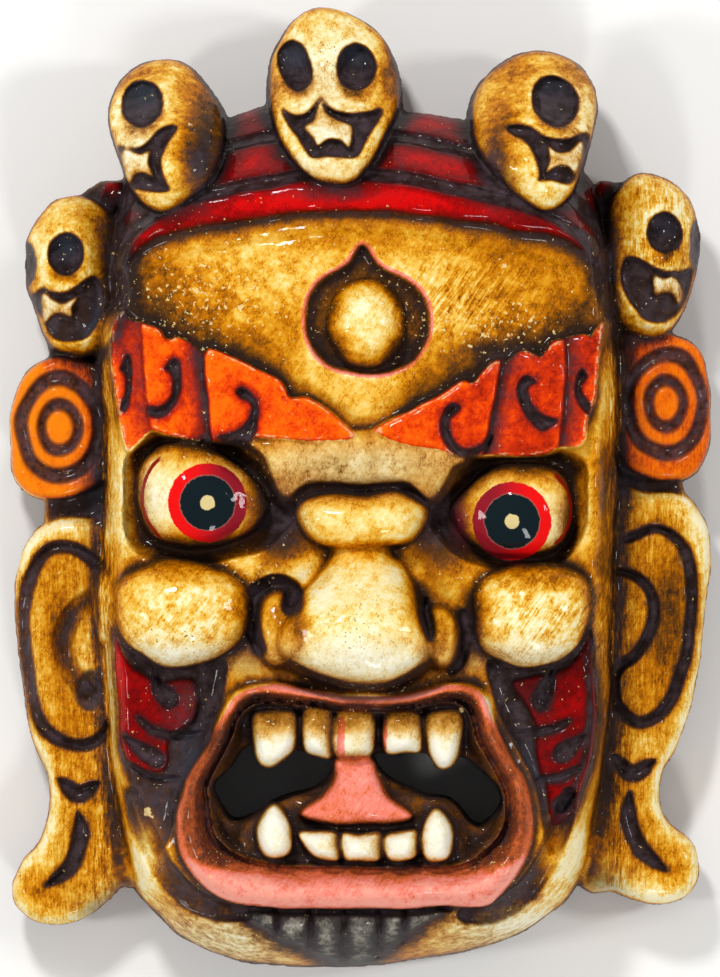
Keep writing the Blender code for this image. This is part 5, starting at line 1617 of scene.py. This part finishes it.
# %% The paints, from clean to drowned in stain
PAINTS = {
    "cream": [
        (0.0, "#FFF3C6"), (0.10, "#FBE498"), (0.22, "#F3C24E"), (0.34, "#E09C1C"), (0.46, "#C67600"),
        (0.58, "#9C5800"), (0.70, "#704108"), (0.82, "#4E2E0E"), (0.92, "#3C2412"), (1.0, "#2C1D13"),
    ],
    # The chalk ramp colours the chalky places, and with them the painted highlight at the nose tip and
    # cheek bottoms.
    "chalk": [
        (0.0, "#F6F1DA"), (0.18, "#E8DEB6"), (0.36, "#CDB67A"), (0.54, "#957238"), (0.72, "#5E4018"),
        (0.86, "#38241A"), (1.0, "#20150F"),
    ],
    "red": [
        (0.0, "#D40404"), (0.2, "#A00202"), (0.42, "#700202"), (0.68, "#460404"), (0.88, "#280808"),
        (1.0, "#1A0A0A"),
    ],
    "orange": [
        (0.0, "#FF8A0A"), (0.2, "#FA7604"), (0.4, "#E05A04"), (0.6, "#A83A06"), (0.8, "#5C2008"),
        (1.0, "#28120C"),
    ],
    "vermilion": [
        (0.0, "#FF6C04"), (0.15, "#F85002"), (0.32, "#D43202"), (0.55, "#9C1C04"), (0.8, "#54120A"),
        (1.0, "#26100E"),
    ],
    "slate": [(0.0, "#B2AC9C"), (0.2, "#807B70"), (0.4, "#45423F"), (1.0, "#1E1A1A")],
    "teeth": [
        (0.0, "#FAF6E2"), (0.2, "#F2E2B0"), (0.4, "#DBA850"), (0.6, "#A4691A"), (0.8, "#5C3812"),
        (1.0, "#2A1A12"),
    ],
    "pink": [
        (0.0, "#FFA692"), (0.2, "#F88876"), (0.34, "#E87248"), (0.5, "#C05A28"), (0.66, "#843E1E"),
        (0.82, "#4E2A1E"), (1.0, "#2A1A18"),
    ],
}
painted = {}
for name, stops in PAINTS.items():
    node = add(tree, "ShaderNodeValToRGB", {"Fac": stain_here})
    elements = node.color_ramp.elements
    while len(elements) < len(stops):
        elements.new(1.0)
    for element, (position, code) in zip(elements, stops):
        element.position = position
        element.color = colour(code)
    painted[name] = node.outputs["Color"]
print("paints:", ", ".join(painted))

# %% [markdown]
# ## Layer upon layer
# The painter's order is also the shader's: ground and chalky patches (at the nose tip and the
# cheek bottoms a painted highlight), the paints, dark paint in the cuts (bluish in places, a painted
# sheen), then what wear brought out, and last the paint of the eyes. Each layer is a colour and how
# much it covers. The back was never painted, so plain brown wood lies over all of it behind the
# ears, the crown and the rim.


# %% Lay the paints, the dark paint and the wear
def layered(tree, ground, *layers):
    """A colour with others laid over it; a layer is (colour, how much it covers)."""
    for top, amount in layers:
        ground = add(tree, "ShaderNodeMix", {0: amount, 6: ground, 7: top}, data_type="RGBA").outputs[2]
    return ground


# Where these places are strong the dark paint turns slate-blue: a painted reflection of light in the
# gloss.
slaty_here = sum_of(tree, 0.0, (read["slaty"], 0.75))
smoke_colour = layered(tree, colour("#2A1F1D"), (colour("#4B3D42"), cover["purple"]),
                       (colour("#333D49"), slaty_here))
clear_of_smoke = sum_of(tree, 1.0, (read["smoke"], -1.0))
back_wood = layered(tree, colour("#8A5A30"), (colour("#4E3019"), pattern["upright"]))
# After the paints: dark paint with its painted bluish sheen, worn edges, crimson in the eye corners,
# pale flakes, dark grit, single chips, and the bare wood of the back.
surface = layered(
    tree, painted["cream"],
    # Chalky pale paint, with a painted highlight at the nose tip and cheek bottoms.
    (painted["chalk"], read["chalky"]),
    *[(painted[paint], cover[paint]) for paint in PAINT_ORDER],
    (smoke_colour, smoke_here),
    (colour("#EBD49A"), sum_of(tree, 0.0, (cover["worn through"], 0.5, clear_of_smoke))),
    (colour("#7E1830"), sum_of(tree, 0.0, (read["crimson"], 0.8))),
    (colour("#F2D88E"), sum_of(tree, 0.0, (cover["flakes"], 0.8))),
    (colour("#3A2412"), sum_of(tree, 0.0, (cover["specks"], 0.8))),
    (colour("#E8C98C"), cover["chips"]),
    (back_wood, cover["bare"]),
)
print("nodes so far:", len(tree.nodes))

# %% Lay the rounds and lines of the eyes
ring_red = layered(tree, colour("#8E1826"), (colour("#EE1010"), cover["brighter ring"]))
surface = layered(
    tree, surface,
    (ring_red, cover["red ring"]),
    (colour("#9A5A50"), cover["rim of the pupil"]),
    (colour("#101D22"), cover["pupil"]),
    (colour("#DCC88C"), cover["gold dot"]),
)
for middle, radius, start in EYE_LINES:
    on_line = sum_of(tree, 0.0, (cover["line", middle], 1.0, cover["end of line", middle]))
    surface = layered(tree, surface, (colour("#8A1408"), on_line))
print("eyes painted at", EYE_MIDDLES)

# %% [markdown]
# ## Varnish
# The varnish is a thin, glossy coat over all the paint. A glossy paint would wash the colours out.
# So the paint itself stays soft, and a thin smooth coat gives the small sharp highlights on knobs,
# teeth and balls. The brush's skin, the flakes and the grit lift it by less than a millimetre, which
# breaks the highlights up: without that the wood looks like plastic.

# %% The varnish and the finished surface
varnish_grit = sum_of(
    tree, 0.0, (pattern["skin"], 1.0), (cover["flakes"], 0.06), (cover["specks"], -0.06))
relief = add(tree, "ShaderNodeBump", {
    "Height": varnish_grit, "Strength": 0.5, "Distance": 0.8 * MM}).outputs["Normal"]
shader = add(tree, "ShaderNodeBsdfPrincipled", {
    "Base Color": surface, "Roughness": 0.55, "IOR": 1.45, "Specular IOR Level": 0.02, "Normal": relief,
    "Coat Weight": 0.2, "Coat Roughness": 0.05, "Coat IOR": 1.5})
add(tree, "ShaderNodeOutputMaterial", {"Surface": shader.outputs[0]})
print(painted_wood.name, "has", len(tree.nodes), "nodes")

# %% [markdown]
# ## Bare wood
# The hollow was never painted: the eye sees light brown wood with grain that runs along the face,
# and no gloss. One noise, stretched twenty times along the grain, is enough for a place that is
# mostly in shade.

# %% Bare wood of the hollow
GRAIN_WIDTH = 2.857

tree = bare_wood.node_tree
tree.nodes.clear()
wood_place = add(tree, "ShaderNodeTexCoord").outputs["Object"]
grain_place = add(tree, "ShaderNodeMapping", {
    "Vector": wood_place, "Scale": (1 / MM, 0.05 / MM, 1 / MM)}).outputs[0]
grain = add(tree, "ShaderNodeTexNoise", {
    "Vector": grain_place, "Scale": 1 / GRAIN_WIDTH, "Detail": 6.0, "Roughness": 0.6})
wood_colour = layered(tree, colour("#B98A55"), (colour("#7E5430"), grain.outputs["Fac"]))
wood_shader = add(tree, "ShaderNodeBsdfPrincipled", {"Base Color": wood_colour, "Roughness": 0.75})
add(tree, "ShaderNodeOutputMaterial", {"Surface": wood_shader.outputs[0]})
print(bare_wood.name, "has", len(tree.nodes), "nodes")

# %% [markdown]
# ## Floor
# The mask lies face-up on a pale, matt floor. A plain grid, much wider than the mask, is enough: it
# takes the soft shadow round the edge and throws some light back onto the side walls.

# %% The floor
FLOOR_HALF = 3.0

floor_shape = bmesh.new()
bmesh.ops.create_grid(floor_shape, x_segments=4, y_segments=4, size=FLOOR_HALF)
floor_mesh = bpy.data.meshes.new("floor")
floor_shape.to_mesh(floor_mesh)
floor_shape.free()
floor = bpy.data.objects.new("floor", floor_mesh)
scene.collection.objects.link(floor)
floor_paint = material_named("matt_pale_floor")
floor_shader = floor_paint.node_tree.nodes["Principled BSDF"]
floor_shader.inputs["Base Color"].default_value = colour("#F7F6F3")
floor_shader.inputs["Roughness"].default_value = 0.9
floor.data.materials.append(floor_paint)
print("floor", 2 * FLOOR_HALF, "metres wide")

# %% [markdown]
# ## Lights
# A studio lights such a carving mostly from the crown side, so that brows and lips throw their
# shadow down the face, and fills the sides with weaker lamps. One large lamp would be softer, but
# small lamps leave small highlights in the varnish. A pale surround keeps the cuts readable.

# %% The lights
SURROUND_STRENGTH = 0.32
LAMP_SIZE = 0.26
# Each lamp: its name, its place in metres and its watts.
LAMPS = (
    ("key", (-0.5, 1.25, 1.7), 23.0),
    ("right", (1.5, 0.2, 1.5), 10.0),
    ("left", (-1.5, -0.3, 1.4), 10.0),
    ("foot", (0.3, -1.5, 1.3), 8.5),
)

world = bpy.data.worlds.new("studio")
world.use_nodes = True
world.node_tree.nodes["Background"].inputs["Color"].default_value = colour("#F4F6FA")
world.node_tree.nodes["Background"].inputs["Strength"].default_value = SURROUND_STRENGTH
scene.world = world
scene.view_settings.view_transform = "Standard"
aim = Vector((0, 0, 60 * MM))
for name, location, watts in LAMPS:
    lamp = bpy.data.lights.new(name, "AREA")
    lamp.size = LAMP_SIZE
    lamp.energy = watts
    light = bpy.data.objects.new(name, lamp)
    light.location = location
    light.rotation_euler = (aim - light.location).to_track_quat("-Z", "Y").to_euler()
    scene.collection.objects.link(light)
print("lamps:", ", ".join(f"{name} {watts} W" for name, location, watts in LAMPS))

# %% [markdown]
# ## Camera
# The mask is seen from straight above. The camera stands five metres off with a long lens, so the
# carving isn't drawn larger where it is nearer. Its lens is worked out from how much should fit.

# %% The camera
CAMERA_DISTANCE = 5.0
DRAWN_FRAME_HEIGHT = 430.0

camera_data = bpy.data.cameras.new("camera")
camera_data.sensor_fit = "VERTICAL"
camera_data.sensor_height = 36.0
half_frame = 0.5 * DRAWN_FRAME_HEIGHT * MM
camera_data.lens = 0.5 * camera_data.sensor_height / (half_frame / (CAMERA_DISTANCE - aim.z))
camera = bpy.data.objects.new("camera", camera_data)
camera.location = (0, 0, CAMERA_DISTANCE)
scene.collection.objects.link(camera)
scene.camera = camera
print("lens", round(camera_data.lens, 1), "mm")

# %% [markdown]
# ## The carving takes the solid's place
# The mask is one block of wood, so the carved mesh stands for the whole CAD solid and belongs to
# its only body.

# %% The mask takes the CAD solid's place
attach(mask, "root")
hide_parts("mask")
